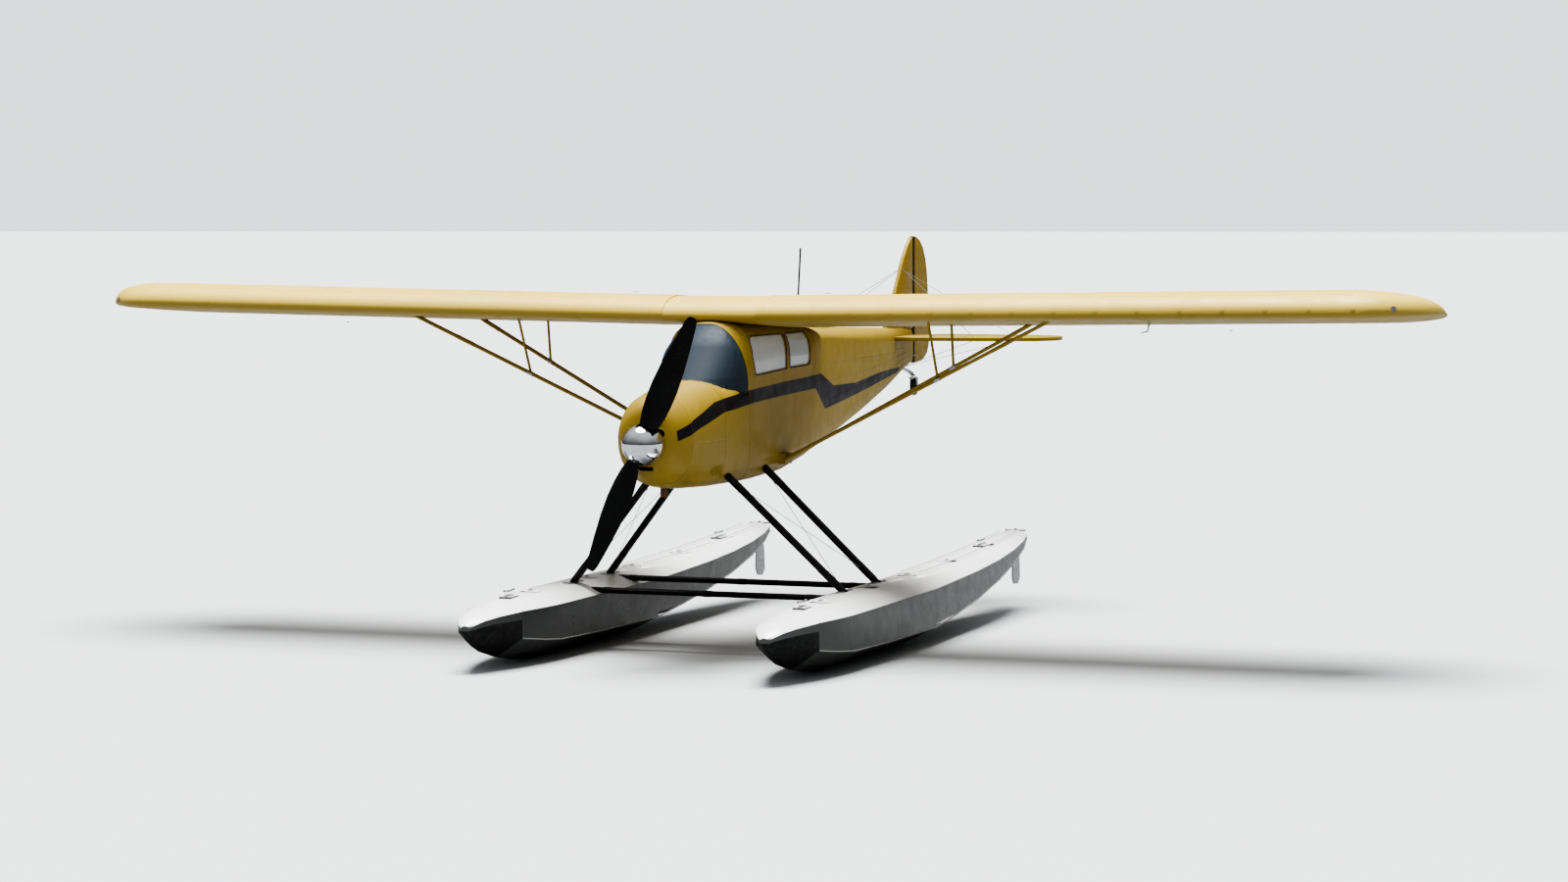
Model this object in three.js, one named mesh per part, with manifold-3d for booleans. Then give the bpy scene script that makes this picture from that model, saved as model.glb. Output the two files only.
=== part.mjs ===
// Two-seat high-wing floatplane with strut-braced wings and twin floats.
// Millimetres, +Z up. The nose points along -Y and the aeroplane's left side is +X.
// Stations along Y are measured from the wing's leading edge and moved to the middle of the box at the end.
import * as THREE from 'three';
import { mergeVertices } from 'three/addons/utils/BufferGeometryUtils.js';
import Module from 'manifold-3d';

const wasm = await Module();
wasm.setup();

// General sizes
const FIT = 0.3;
const SHIFT_Y = -1655;

const WING = {
  halfSpan: 5365, chord: 1600, edgeZ: 2514, dihedral: 0.0155, incidence: 0.072, rootX: 375,
  tipStart: 4750, tipY: 770, tipLift: 30,
};
const HINGE = { y: 1240, nose: 45, cove: 52, lipY: -14, lipZ: -18, pin: 8, hole: 8.8, pinLength: 26 };
const FLAP = { inner: 470, outer: 2500 };
const AILERON = { inner: 2640, outer: 4700 };
const CABIN = { halfWidth: 343, wall: 20, front: -450, rear: 1750, hoop: -25, top: 2480 };
const HUB = { y: -1295, z: 1640, radius: 62, blade: 1000, lean: 23.9 };
const FLOAT = { x: 1147, stepY: 1050, bumperY: -1330, sternY: 3960, crown: 4, camber: 0.25 };
const TAIL = { hingeY: 4570, z: 2225, thick: 34, rudderY: 4706 };

// Colours and finishes
const PAINT = {
  yellow: [0xf2c230, 0.38, 0.0],
  cream: [0xf6dc84, 0.42, 0.0],
  white: [0xe9ebec, 0.45, 0.0],
  grey: [0x5d6468, 0.5, 0.4],
  black: [0x17181a, 0.5, 0.1],
  rubber: [0x141414, 0.85, 0.0],
  chrome: [0xd8dce0, 0.12, 1.0],
  steel: [0x8d9296, 0.35, 0.9],
  brown: [0x6a4a34, 0.6, 0.5],
  glass: [0xb9c8d2, 0.08, 0.0],
  cloth: [0x6b5a48, 0.9, 0.0],
  panel: [0x222426, 0.6, 0.1],
};

// Conversions between three.js geometry and solids
function solid(geometry) {
  const bare = new THREE.BufferGeometry();
  bare.setAttribute('position', geometry.getAttribute('position').clone());
  if (geometry.index) bare.setIndex(geometry.index.clone());
  const merged = mergeVertices(bare, 1e-3);
  const mesh = new wasm.Mesh({
    numProp: 3,
    vertProperties: new Float32Array(merged.getAttribute('position').array),
    triVerts: new Uint32Array(merged.index.array),
  });
  mesh.merge();
  const body = new wasm.Manifold(mesh);
  if (body.volume() < 0) throw new Error('inside out');
  return body;
}

function geometryOf(body) {
  const mesh = body.getMesh();
  const geometry = new THREE.BufferGeometry();
  const positions = new Float32Array(mesh.numVert * 3);
  for (let i = 0; i < mesh.numVert; i += 1) {
    for (let k = 0; k < 3; k += 1) positions[i * 3 + k] = mesh.vertProperties[i * mesh.numProp + k];
  }
  geometry.setAttribute('position', new THREE.BufferAttribute(positions, 3));
  geometry.setIndex(new THREE.BufferAttribute(new Uint32Array(mesh.triVerts), 1));
  return geometry;
}

function join(...bodies) {
  return bodies.reduce((sum, body) => sum.add(body));
}

function cut(body, ...tools) {
  return tools.reduce((rest, tool) => rest.subtract(tool), body);
}

function largest(body) {
  const pieces = body.decompose();
  return pieces.reduce((best, piece) => (piece.volume() > best.volume() ? piece : best));
}

function move(body, x, y, z) {
  return body.translate([x, y, z]);
}

// The same solid on the other side of the centre plane
function mirror(body) {
  return body.mirror([1, 0, 0]);
}

// Primitive solids
function box(x0, x1, y0, y1, z0, z1) {
  const geometry = new THREE.BoxGeometry(x1 - x0, y1 - y0, z1 - z0);
  geometry.translate((x0 + x1) / 2, (y0 + y1) / 2, (z0 + z1) / 2);
  return solid(geometry);
}

function rod(from, to, radius, sides = 16) {
  const a = new THREE.Vector3(...from);
  const b = new THREE.Vector3(...to);
  const geometry = new THREE.CylinderGeometry(radius, radius, a.distanceTo(b), sides);
  const turn = new THREE.Quaternion().setFromUnitVectors(
    new THREE.Vector3(0, 1, 0),
    b.clone().sub(a).normalize(),
  );
  geometry.applyQuaternion(turn);
  geometry.translate(...a.add(b).multiplyScalar(0.5).toArray());
  return solid(geometry);
}

// Skin through rings of points, closed with a fan at each end
function loft(rings) {
  const count = rings[0].length;
  const points = rings.flat();
  const faces = [];
  for (let r = 0; r < rings.length - 1; r += 1) {
    for (let i = 0; i < count; i += 1) {
      const j = (i + 1) % count;
      const a = r * count + i;
      const b = r * count + j;
      const c = a + count;
      const d = b + count;
      faces.push(a, b, d, a, d, c);
    }
  }
  const last = (rings.length - 1) * count;
  for (let i = 1; i < count - 1; i += 1) {
    faces.push(0, i + 1, i);
    faces.push(last, last + i, last + i + 1);
  }
  const geometry = new THREE.BufferGeometry();
  geometry.setAttribute('position', new THREE.Float32BufferAttribute(points.flat(), 3));
  geometry.setIndex(faces);
  const first = new THREE.Vector3(...rings[0][0]);
  let volume = 0;
  for (let f = 0; f < faces.length; f += 3) {
    const [p, q, s] = [0, 1, 2].map((k) => new THREE.Vector3(...points[faces[f + k]]).sub(first));
    volume += p.dot(q.cross(s));
  }
  if (volume < 0) {
    for (let f = 0; f < faces.length; f += 3) [faces[f + 1], faces[f + 2]] = [faces[f + 2], faces[f + 1]];
    geometry.setIndex(faces);
  }
  return solid(geometry);
}

// Flat outline in (y, z) extruded along X between two stations
function sideProfile(points, x0, x1, bevel = 0) {
  const shape = new THREE.Shape(points.map(([y, z]) => new THREE.Vector2(y, z)));
  const geometry = new THREE.ExtrudeGeometry(shape, {
    depth: x1 - x0 - 2 * bevel, bevelEnabled: bevel > 0, bevelThickness: bevel, bevelSize: bevel,
    bevelOffset: -bevel, bevelSegments: 2, curveSegments: 6,
  });
  geometry.translate(0, 0, x0 + bevel);
  const turn = new THREE.Matrix4().set(0, 0, 1, 0, 1, 0, 0, 0, 0, 1, 0, 0, 0, 0, 0, 1);
  geometry.applyMatrix4(turn);
  return solid(geometry);
}

// Streamlined strut between two points, its chord lying along Y
function strut(from, to, chord, thick, grow = 0) {
  const a = new THREE.Vector3(...from);
  const b = new THREE.Vector3(...to);
  const axis = b.clone().sub(a).normalize();
  const along = new THREE.Vector3(0, 1, 0).addScaledVector(axis, -axis.y).normalize();
  const across = axis.clone().cross(along);
  const ring = (centre) => Array.from({ length: 12 }, (_, i) => {
    const t = (i / 12) * Math.PI * 2;
    return centre.clone()
      .addScaledVector(along, Math.cos(t) * (chord / 2 + grow))
      .addScaledVector(across, Math.sin(t) * (thick / 2 + grow))
      .toArray();
  });
  return loft([ring(a), ring(b)]);
}

// Closed body section across the nose-to-tail line: the sides stand upright at the shoulder's height,
// and the roundness above and below is the power of a superellipse
function bodyRing(row, inset, count = 36) {
  const { y, lower, upper, shoulder } = row;
  const half = row.half - inset;
  const bottom = row.bottom + inset;
  const top = row.top - inset;
  return Array.from({ length: count }, (_, i) => {
    const t = ((i + 0.5) / count) * Math.PI * 2;
    const c = Math.cos(t);
    const s = Math.sin(t);
    const power = 2 / (s > 0 ? upper : lower);
    const x = half * Math.sign(c) * Math.abs(c) ** power;
    const z = shoulder + (s > 0 ? top - shoulder : shoulder - bottom) * Math.sign(s) * Math.abs(s) ** power;
    return [x, y, z];
  });
}

function bodyLoft(rows, inset = 0) {
  return loft(rows.map((row) => bodyRing(row, inset)));
}

// Rows of a body, and the same rows with the first and last station moved
const bodyRows = (table) => table.map(([y, half, bottom, shoulder, top, lower, upper]) => (
  { y, half, bottom, shoulder, top, lower, upper }
));
// Rows in between, on a smooth curve through the table's own rows
function finer(rows, steps) {
  const at = (i) => rows[Math.min(Math.max(i, 0), rows.length - 1)];
  const blend = (i, t) => Object.fromEntries(Object.keys(rows[0]).map((key) => {
    const [a, b, c, d] = [at(i - 1)[key], at(i)[key], at(i + 1)[key], at(i + 2)[key]];
    const bend = (c - a) * t + (2 * a - 5 * b + 4 * c - d) * t ** 2 + (3 * b - a - 3 * c + d) * t ** 3;
    return [key, key === 'y' ? b + (c - b) * t : b + bend / 2];
  }));
  const between = rows.slice(1).flatMap((_, i) => (
    Array.from({ length: steps }, (__, k) => blend(i, k / steps))
  ));
  return [...between, rows[rows.length - 1]];
}
const longer = (rows, front, rear) => rows.map((row, i) => (
  { ...row, y: row.y + (i === 0 ? front : 0) + (i === rows.length - 1 ? rear : 0) }
));

// Wing section in fractions of the chord, upper then lower surface
const UPPER = [
  [0, 0], [0.004, 0.018], [0.012, 0.034], [0.04, 0.0625], [0.1, 0.092], [0.2, 0.111], [0.32, 0.1127],
  [0.46, 0.1027], [0.6, 0.0838], [0.75, 0.0555], [0.88, 0.0295], [1, 0.003],
];
const LOWER = [[1, -0.003], [0.7, -0.015], [0.4, -0.021], [0.12, -0.024], [0.04, -0.021], [0.01, -0.012]];
const SECTION = [...UPPER, ...LOWER];

// The section is thinner in a shorter chord near the tip, and falls towards the rear by the wing's incidence
function wingRing(x) {
  const over = Math.max(0, (x - WING.tipStart) / (WING.halfSpan - WING.tipStart));
  const bend = 1 - Math.sqrt(Math.max(0, 1 - over * over));
  const front = WING.tipY * bend;
  const back = WING.chord - (WING.chord - WING.tipY) * bend;
  const chord = back - front;
  const depth = WING.chord * (chord / WING.chord) ** 0.85;
  const base = WING.edgeZ + x * WING.dihedral + WING.tipLift * bend;
  return SECTION.map(([u, v]) => {
    const y = front + u * chord;
    return [x, y, base + v * depth - y * WING.incidence];
  });
}

function sectionHeight(y) {
  const find = (list) => {
    const u = y / WING.chord;
    const sorted = [...list].sort((p, q) => p[0] - q[0]);
    const k = sorted.findIndex((p) => p[0] >= u);
    const [a, b] = [sorted[k - 1], sorted[k]];
    return (a[1] + ((u - a[0]) / (b[0] - a[0])) * (b[1] - a[1])) * WING.chord - y * WING.incidence;
  };
  return { top: find(UPPER), bottom: find([...LOWER, [0, 0]]) };
}

// Hinge line height of flaps and ailerons over the flat wing
const hingeSection = sectionHeight(HINGE.y);
const hingeZ = (hingeSection.top + hingeSection.bottom) / 2;
const hingeAt = (x) => [x, HINGE.y, WING.edgeZ + x * WING.dihedral + hingeZ];

function surface(inner, outer) {
  const ring = (x) => {
    const [, , z] = hingeAt(x);
    const base = WING.edgeZ + x * WING.dihedral;
    const nose = Array.from({ length: 7 }, (_, i) => {
      const t = Math.PI * (1.5 - i / 6);
      return [x, HINGE.y + Math.cos(t) * HINGE.nose, z + Math.sin(t) * HINGE.nose];
    });
    const lowerPoints = [[0.985, -0.003], [0.9, -0.0075]];
    const upperPoints = [[0.84, 0.0375], [0.93, 0.0184], [0.985, 0.0048]];
    const at = ([u, v]) => [x, u * WING.chord, base + (v - u * WING.incidence) * WING.chord];
    return [...nose, ...upperPoints.map(at), ...lowerPoints.map(at)];
  };
  const panel = loft([ring(inner), ring(outer)]);
  const pins = [[inner - HINGE.pinLength, inner + 20], [outer - 20, outer + HINGE.pinLength]]
    .map(([a, b]) => rod(hingeAt(a), hingeAt(b), HINGE.pin));
  return join(panel, ...pins);
}

// The wing's lower lip ends ahead of the nose, so that the surface can swing well down
function coveFor(inner, outer) {
  const gap = 6;
  const cove = rod(hingeAt(inner - gap), hingeAt(outer + gap), HINGE.cove, 20);
  const lip = move(cove, 0, HINGE.lipY, HINGE.lipZ);
  const slot = box(inner - gap, outer + gap, HINGE.y, WING.chord + 50, WING.edgeZ - 200, WING.edgeZ + 300);
  const bore = rod(hingeAt(inner - HINGE.pinLength - 1), hingeAt(outer + HINGE.pinLength + 1), HINGE.hole);
  return join(cove, lip, slot, bore);
}

// Wings
const tipStations = [0.2, 0.36, 0.5, 0.62, 0.73, 0.82, 0.89, 0.94, 0.975, 0.994].map((s) => (
  WING.tipStart + s * (WING.halfSpan - WING.tipStart)
));
const wingBlank = loft([WING.rootX, WING.tipStart, ...tipStations, WING.halfSpan - 0.4].map(wingRing));
const wingLeft = largest(cut(
  wingBlank,
  coveFor(FLAP.inner, FLAP.outer),
  coveFor(AILERON.inner, AILERON.outer),
));
const flapLeft = surface(FLAP.inner, FLAP.outer);
const aileronLeft = surface(AILERON.inner, AILERON.outer);

const centreRing = (x) => SECTION.map(([u, v]) => (
  [x, u * WING.chord, WING.edgeZ + (v - u * WING.incidence) * WING.chord]
));
const centreBlock = loft([centreRing(-420), centreRing(420)]);
const SKYLIGHT = { x: 215, front: 480, rear: 1080 };
const skyCut = box(-SKYLIGHT.x, SKYLIGHT.x, SKYLIGHT.front, SKYLIGHT.rear, 2300, 2800);
const centreHalf = WING.rootX - FIT;
const wingCentre = cut(loft([centreRing(-centreHalf), centreRing(centreHalf)]), skyCut);
const skyShape = box(
  -SKYLIGHT.x + FIT, SKYLIGHT.x - FIT, SKYLIGHT.front + FIT, SKYLIGHT.rear - FIT, 2300, 2800,
);
const skylight = largest(cut(
  loft([centreRing(-centreHalf), centreRing(centreHalf)]).intersect(skyShape),
  move(centreBlock, 0, 0, -6),
));

// Fuselage, front to back: station, half width, bottom, shoulder, top, roundness below and above
const NOSE_TABLE = [
  [-1225, 150, 1500, 1655, 1842, 2, 2],
  [-1205, 196, 1446, 1655, 1897, 2, 2],
  [-1160, 236, 1394, 1655, 1942, 2.05, 2.05],
  [-1080, 272, 1344, 1655, 1980, 2.1, 2.1],
  [-1020, 290, 1326, 1655, 1996, 2.2, 2.15],
];
const COWL_TABLE = [
  NOSE_TABLE[NOSE_TABLE.length - 1],
  [-800, 314, 1292, 1680, 2030, 2.9, 2.3],
  [-450, 334, 1284, 1740, 2066, 4.2, 2.6],
];
const NOSE_ROWS = finer(bodyRows(NOSE_TABLE), 2);
const COWL_ROWS = finer(bodyRows(COWL_TABLE), 4);
const LOWER_ROWS = bodyRows([
  [CABIN.front + FIT, 334, 1284, 1740, 2066, 4.2, 2.6],
  [-250, 340, 1287, 1880, 2050, 5.5, 3],
  [120, CABIN.halfWidth, 1292, 1920, 2010, 7, 4],
]);
const UPPER_ROWS = bodyRows([
  [CABIN.hoop, CABIN.halfWidth, 1290, 2010, CABIN.top, 7, 2],
  [40, CABIN.halfWidth, 1291, 2095, CABIN.top, 7, 3.1],
  [200, CABIN.halfWidth, 1295, 2100, CABIN.top, 8, 3.3],
  [770, CABIN.halfWidth, 1322, 2110, 2470, 9, 3.4],
  [1270, 336, 1397, 2130, 2450, 9, 3.2],
  [1430, 328, 1426, 2260, 2425, 9, 2.8],
  [CABIN.rear, 302, 1468, 2290, 2392, 9, 2.5],
]);
const TAIL_ROWS = bodyRows([
  [CABIN.rear + FIT, 302, 1468, 2290, 2392, 9, 2.5],
  [2400, 246, 1576, 2256, 2372, 9, 2.3],
  [3100, 182, 1692, 2228, 2350, 8, 2.2],
  [3800, 116, 1825, 2198, 2325, 7, 2.2],
  [4400, 55, 1965, 2175, 2305, 6, 2.2],
  [4655, 26, 2005, 2165, 2290, 5, 2.4],
]);

// Cowling
const cowlOuter = bodyLoft(COWL_ROWS);
const cowlInner = bodyLoft(longer(COWL_ROWS, -20, 20), 8);
const cowlShell = cut(cowlOuter, cowlInner);
const COWL_SPLIT = 1640;
const cowlUpper = cowlShell.intersect(box(-500, 500, -1500, 0, COWL_SPLIT + FIT, 2300));
const cowlLowerBlank = cowlShell.intersect(box(-500, 500, -1500, 0, 1000, COWL_SPLIT));
const EXHAUST = { x: -95, y: -640, radius: 28 };
const exhaustHole = rod([EXHAUST.x, EXHAUST.y, 1200], [EXHAUST.x, EXHAUST.y, 1500], EXHAUST.radius + 8);
const cowlLower = cut(cowlLowerBlank, exhaustHole);
const noseOuter = bodyLoft(longer(NOSE_ROWS, 0, -FIT));
const noseInner = bodyLoft(longer(NOSE_ROWS, 8, 30), 8);
const shaftHole = rod([0, -1300, HUB.z], [0, -1000, HUB.z], 75, 24);
const inlets = [-1, 1].map((side) => (
  rod([side * 112, -1300, HUB.z + 72], [side * 112, -1100, HUB.z + 72], 40, 18)
));
const chinInlet = box(-55, 55, -1300, -1160, 1446, 1476);
const noseBowl = cut(noseOuter, noseInner, shaftHole, ...inlets, chinInlet);

// Engine as one block on its mount, with the crankshaft to the propeller
const engine = join(
  box(-226, 226, -1005, -610, 1500, 1810),
  rod([0, HUB.y + 60 + FIT, HUB.z], [0, -900, HUB.z], 52, 20),
  ...[[-170, 1540], [170, 1540], [-170, 1770], [170, 1770]].map(([x, z]) => (
    rod([x, -700, z], [x, CABIN.front - FIT, z], 14, 10)
  )),
  rod([EXHAUST.x, EXHAUST.y, 1600], [EXHAUST.x, EXHAUST.y, 1400], EXHAUST.radius - 6, 14),
);
const exhaust = cut(
  rod([EXHAUST.x, EXHAUST.y, 1399.6], [EXHAUST.x, EXHAUST.y, 1215], EXHAUST.radius, 16),
  rod([EXHAUST.x, EXHAUST.y, 1300], [EXHAUST.x, EXHAUST.y, 1200], EXHAUST.radius - 4, 16),
);

// Cabin body: lower tub, upper frame with the wings' carry-through, and its openings
const cabinOuter = join(bodyLoft(LOWER_ROWS), bodyLoft(UPPER_ROWS));
const cabinInner = join(
  bodyLoft(longer(LOWER_ROWS, 12, 40), CABIN.wall),
  bodyLoft(longer(UPPER_ROWS, -60, 20), CABIN.wall),
);
const cowlTopBlock = join(bodyLoft(longer(COWL_ROWS, 0, 1)), bodyLoft(LOWER_ROWS));

const DOOR = {
  front: 60, rear: 540, sill: 1500, split: 2030, top: 2350, gap: 6, upperAxis: 303, lowerAxis: 331,
};
const WINDOWS = {
  front: [[108, 2090], [50, 2225], [50, 2325], [72, 2358], [110, 2368], [745, 2368], [745, 2114]],
  rear: [[825, 2368], [825, 2118], [1245, 2126], [1278, 2150], [1282, 2345], [1258, 2368]],
  starboard: [[620, 2368], [620, 2113], [1245, 2126], [1278, 2150], [1282, 2345], [1258, 2368]],
  door: [[98, 2080], [102, 2250], [122, 2295], [160, 2318], [500, 2318], [500, 2080]],
};
const shrink = (points, by) => {
  const shape = points.map(([y, z]) => new THREE.Vector2(y, z));
  const area = THREE.ShapeUtils.area(shape);
  return shape.map((p, i) => {
    const before = shape[(i + shape.length - 1) % shape.length];
    const after = shape[(i + 1) % shape.length];
    const n1 = p.clone().sub(before).normalize();
    const n2 = after.clone().sub(p).normalize();
    const sign = area > 0 ? 1 : -1;
    const a = new THREE.Vector2(-n1.y, n1.x).multiplyScalar(sign);
    const b = new THREE.Vector2(-n2.y, n2.x).multiplyScalar(sign);
    const m = a.clone().add(b).normalize();
    return [p.x + (m.x * by) / m.dot(a), p.y + (m.y * by) / m.dot(a)];
  });
};
const doorHole = box(-420, -250, DOOR.front, DOOR.rear, DOOR.sill, DOOR.top + 18);
const doorBores = [[DOOR.lowerAxis, DOOR.sill + 12], [DOOR.upperAxis, DOOR.top]].map(([x, z]) => (
  rod([-x, DOOR.front - 14, z], [-x, DOOR.rear + 14, z], 4.3, 12)
));
const cabin = largest(cut(
  cabinOuter,
  cabinInner,
  move(centreBlock, 0, 0, -FIT),
  move(centreBlock, 0, FIT, FIT),
  sideProfile(WINDOWS.front, 200, 420),
  sideProfile(WINDOWS.rear, 200, 420),
  sideProfile(WINDOWS.starboard, -420, -200),
  doorHole,
  ...doorBores,
  skyCut,
));

// Glass panes sit inside the wall's thickness
const paneSkin = cut(bodyLoft(UPPER_ROWS, 8), bodyLoft(longer(UPPER_ROWS, -20, 20), 13));
const pane = (points, side) => {
  const [x0, x1] = side > 0 ? [200, 420] : [-420, -200];
  return largest(paneSkin.intersect(sideProfile(shrink(points, FIT), x0, x1)));
};

// Windscreen wrapped from the hoop over the coaming
const SCREEN = { front: -420, foot: 2075, rake: 0.93, roundness: 2.2, steps: 9 };
function screenRing(z, inset) {
  const front = Math.min(SCREEN.front + (z - SCREEN.foot) * SCREEN.rake + inset, CABIN.hoop - 12);
  const half = CABIN.halfWidth - 4 - inset;
  const power = 2 / SCREEN.roundness;
  const side = Array.from({ length: SCREEN.steps }, (_, i) => {
    const t = (i / SCREEN.steps) * (Math.PI / 2);
    return [half * Math.cos(t) ** power, CABIN.hoop - (CABIN.hoop - front) * Math.sin(t) ** power, z];
  });
  const left = [[half, 60, z], ...side];
  return [...left, [0, front, z], ...left.map(([x, y, h]) => [-x, y, h]).reverse()];
}
const screenLevels = [1800, 2075, 2300, 2480];
const archOutline = (inset) => [-900, 100].map((y) => (
  bodyRing({ ...UPPER_ROWS[0], y }, 4 + inset)
));
const screenOuter = loft(screenLevels.map((z) => screenRing(z, 0))).intersect(loft(archOutline(0)));
const screenInner = loft(screenLevels.map((z) => screenRing(z, 5))).intersect(loft(archOutline(5)));
const windscreen = largest(cut(
  screenOuter,
  move(screenInner, 0, 0.5, 0),
  box(-500, 500, CABIN.hoop - FIT, 400, 1700, 2600),
  move(centreBlock, 0, 0, -FIT),
  join(move(cowlTopBlock, 0, 0, FIT), box(-500, 500, -1000, 400, 1700, 1962)),
));

// Cabin door in two leaves, the upper hinged above and the lower hinged below
const doorSkin = cut(bodyLoft(UPPER_ROWS), bodyLoft(longer(UPPER_ROWS, -20, 20), CABIN.wall));
const leaf = (z0, z1) => doorSkin.intersect(
  box(-420, -200, DOOR.front + DOOR.gap, DOOR.rear - DOOR.gap, z0, z1),
);
const leafPins = (x, z) => [
  rod([-x, DOOR.front - 12, z], [-x, DOOR.front + 30, z], 3.7, 12),
  rod([-x, DOOR.rear - 30, z], [-x, DOOR.rear + 12, z], 3.7, 12),
];
const doorUpper = join(
  cut(leaf(DOOR.split + 3, DOOR.top + 6), sideProfile(WINDOWS.door, -420, -200)),
  ...leafPins(DOOR.upperAxis, DOOR.top),
);
const doorLower = join(
  leaf(DOOR.sill + 7, DOOR.split - 3),
  ...leafPins(DOOR.lowerAxis, DOOR.sill + 12),
);

// Rear fuselage, hollow and open to the cabin
const elevatorAxis = [TAIL.hingeY, TAIL.z];
const tailShell = cut(
  bodyLoft(TAIL_ROWS),
  bodyLoft(longer(TAIL_ROWS.slice(0, 5), -20, 0), 8),
  rod([-200, ...elevatorAxis], [200, ...elevatorAxis], 19, 16),
);

// Cabin fittings
const onFloor = (body) => largest(cut(body, move(cabin, 0, 0, FIT)));
const UNDER_FLOOR = 1280;
const panel = bodyLoft(LOWER_ROWS, CABIN.wall + FIT).intersect(box(-400, 400, -262, -250, 1760, 2200));
const seatFrame = (front, z) => onFloor(join(
  box(-230, 230, front, front + 430, z, z + 12),
  ...[-215, 215].flatMap((x) => [front + 20, front + 400].map((y) => (
    rod([x, y, UNDER_FLOOR], [x, y, z + 6], 11, 10)
  ))),
  ...[-205, 205].map((x) => rod([x, front + 415, z + 4], [x, front + 500, z + 470], 11, 10)),
  box(-216, 216, front + 476, front + 492, z + 400, z + 440),
));
const seatPad = (front, z) => sideProfile([
  [front + 5, z + 12.4], [front + 5, z + 80], [front + 320, z + 92], [front + 362, z + 120],
  [front + 430, z + 520], [front + 468, z + 520], [front + 400, z + 90], [front + 388, z + 12.4],
], -215, 215);
const FRONT_SEAT = { y: 270, z: 1620 };
const REAR_SEAT = { y: 1010, z: 1650 };
const stick = (y) => onFloor(join(
  rod([0, y, UNDER_FLOOR], [0, y - 30, 1860], 12, 10),
  rod([0, y - 28, 1845], [0, y - 36, 1960], 17, 10),
));

// Propeller and spinner about the crankshaft's axis
function bladeRing(r, chord, thick, pitch) {
  const twist = Math.atan2(pitch, 2 * Math.PI * r);
  const shape = [
    [-0.5, 0], [-0.42, -0.3], [-0.2, -0.5], [0.1, -0.45], [0.35, -0.22], [0.5, 0],
    [0.35, 0.14], [0.1, 0.28], [-0.2, 0.32], [-0.42, 0.2],
  ];
  return shape.map(([u, v]) => {
    const across = u * chord;
    const depth = v * thick;
    const x = across * Math.cos(twist) + depth * -Math.sin(twist);
    const y = across * Math.sin(twist) + depth * Math.cos(twist);
    return [x, y, r];
  });
}
const BLADE = [
  [40, 96, 58], [110, 116, 50], [165, 146, 42], [230, 174, 34], [330, 194, 26], [450, 200, 21],
  [600, 182, 17], [750, 148, 13], [870, 116, 10], [945, 94, 9], [985, 72, 8], [999.5, 46, 7],
];
const BLADE_PITCH = 500;
const blade = loft(BLADE.map(([r, chord, thick]) => bladeRing(r, chord, thick, BLADE_PITCH)));
const propeller = join(
  rod([0, -46, 0], [0, 60, 0], HUB.radius, 24),
  blade,
  blade.rotate([0, 180, 0]),
);
function dome(radius, length, back) {
  const profile = [new THREE.Vector2(0, back), new THREE.Vector2(radius, back)];
  for (let i = 0; i <= 8; i += 1) {
    const t = (i / 8) * (Math.PI / 2);
    profile.push(new THREE.Vector2(radius * Math.cos(t) ** 0.85, back + 6 + length * Math.sin(t)));
  }
  profile[profile.length - 1].x = 0;
  return solid(new THREE.LatheGeometry(profile, 28)).rotate([0, 0, 180]);
}
const slotRing = (r, wide, deep) => [[-wide, -deep, r], [wide, -deep, r], [wide, deep, r], [-wide, deep, r]];
const bladeSlot = loft([slotRing(-200, 76, 57), slotRing(200, 76, 57)]);
const spinner = largest(cut(
  dome(155, 190, -61),
  dome(147, 180, -53),
  rod([0, 30, 0], [0, 80, 0], HUB.radius + FIT, 24),
  bladeSlot,
));

// Lift struts and jury struts
const LIFT = {
  front: { foot: [318, 678, 1402], head: [2608, 281, 2523] },
  rear: { foot: [318, 752, 1402], head: [2300, 850, 2485] },
  chord: 64, thick: 28,
};
const liftStrut = (row, grow = 0) => strut(row.foot, row.head, LIFT.chord, LIFT.thick, grow);
const PAD_FACE = 369;
const footPad = box(300, PAD_FACE, 640, 790, 1385, 1466);
const cabinWithPads = join(cabin, cut(footPad, cabinInner), mirror(cut(footPad, cabinInner)));
const liftFront = largest(cut(
  liftStrut(LIFT.front),
  move(wingBlank, 0, 0, -FIT),
  box(0, PAD_FACE + FIT, 0, 2000, 1200, 2600),
));
const liftRear = largest(cut(
  liftStrut(LIFT.rear),
  move(wingBlank, 0, 0, -FIT),
  box(0, PAD_FACE + FIT, 0, 2000, 1200, 2600),
));
const JURY_X = 1655;
const onStrut = (row, x) => {
  const t = (x - row.foot[0]) / (row.head[0] - row.foot[0]);
  return row.foot.map((v, i) => v + (row.head[i] - v) * t);
};
function juryStrut(row, lean) {
  const [x, y, z] = onStrut(row, JURY_X);
  return largest(cut(
    rod([x, y, z], [x, y + lean, 2540], 10, 12),
    liftStrut(row, FIT),
    box(x - 50, x + 50, y - 80, y + 80, z - 200, z - 2),
    move(wingBlank, 0, 0, -FIT),
  ));
}

// Whip aerial on the left wing
const AERIAL = { x: 400, y: 840, height: 415 };
const aerialBase = WING.edgeZ + sectionHeight(AERIAL.y).top + AERIAL.x * WING.dihedral;
const aerialSolid = largest(cut(
  join(
    rod([AERIAL.x, AERIAL.y, aerialBase - 30], [AERIAL.x, AERIAL.y, aerialBase + 40], 16, 12),
    rod([AERIAL.x, AERIAL.y, aerialBase], [AERIAL.x + 18, AERIAL.y + 10, aerialBase + AERIAL.height], 7, 8),
  ),
  move(wingBlank, 0, 0, FIT),
));

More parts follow.
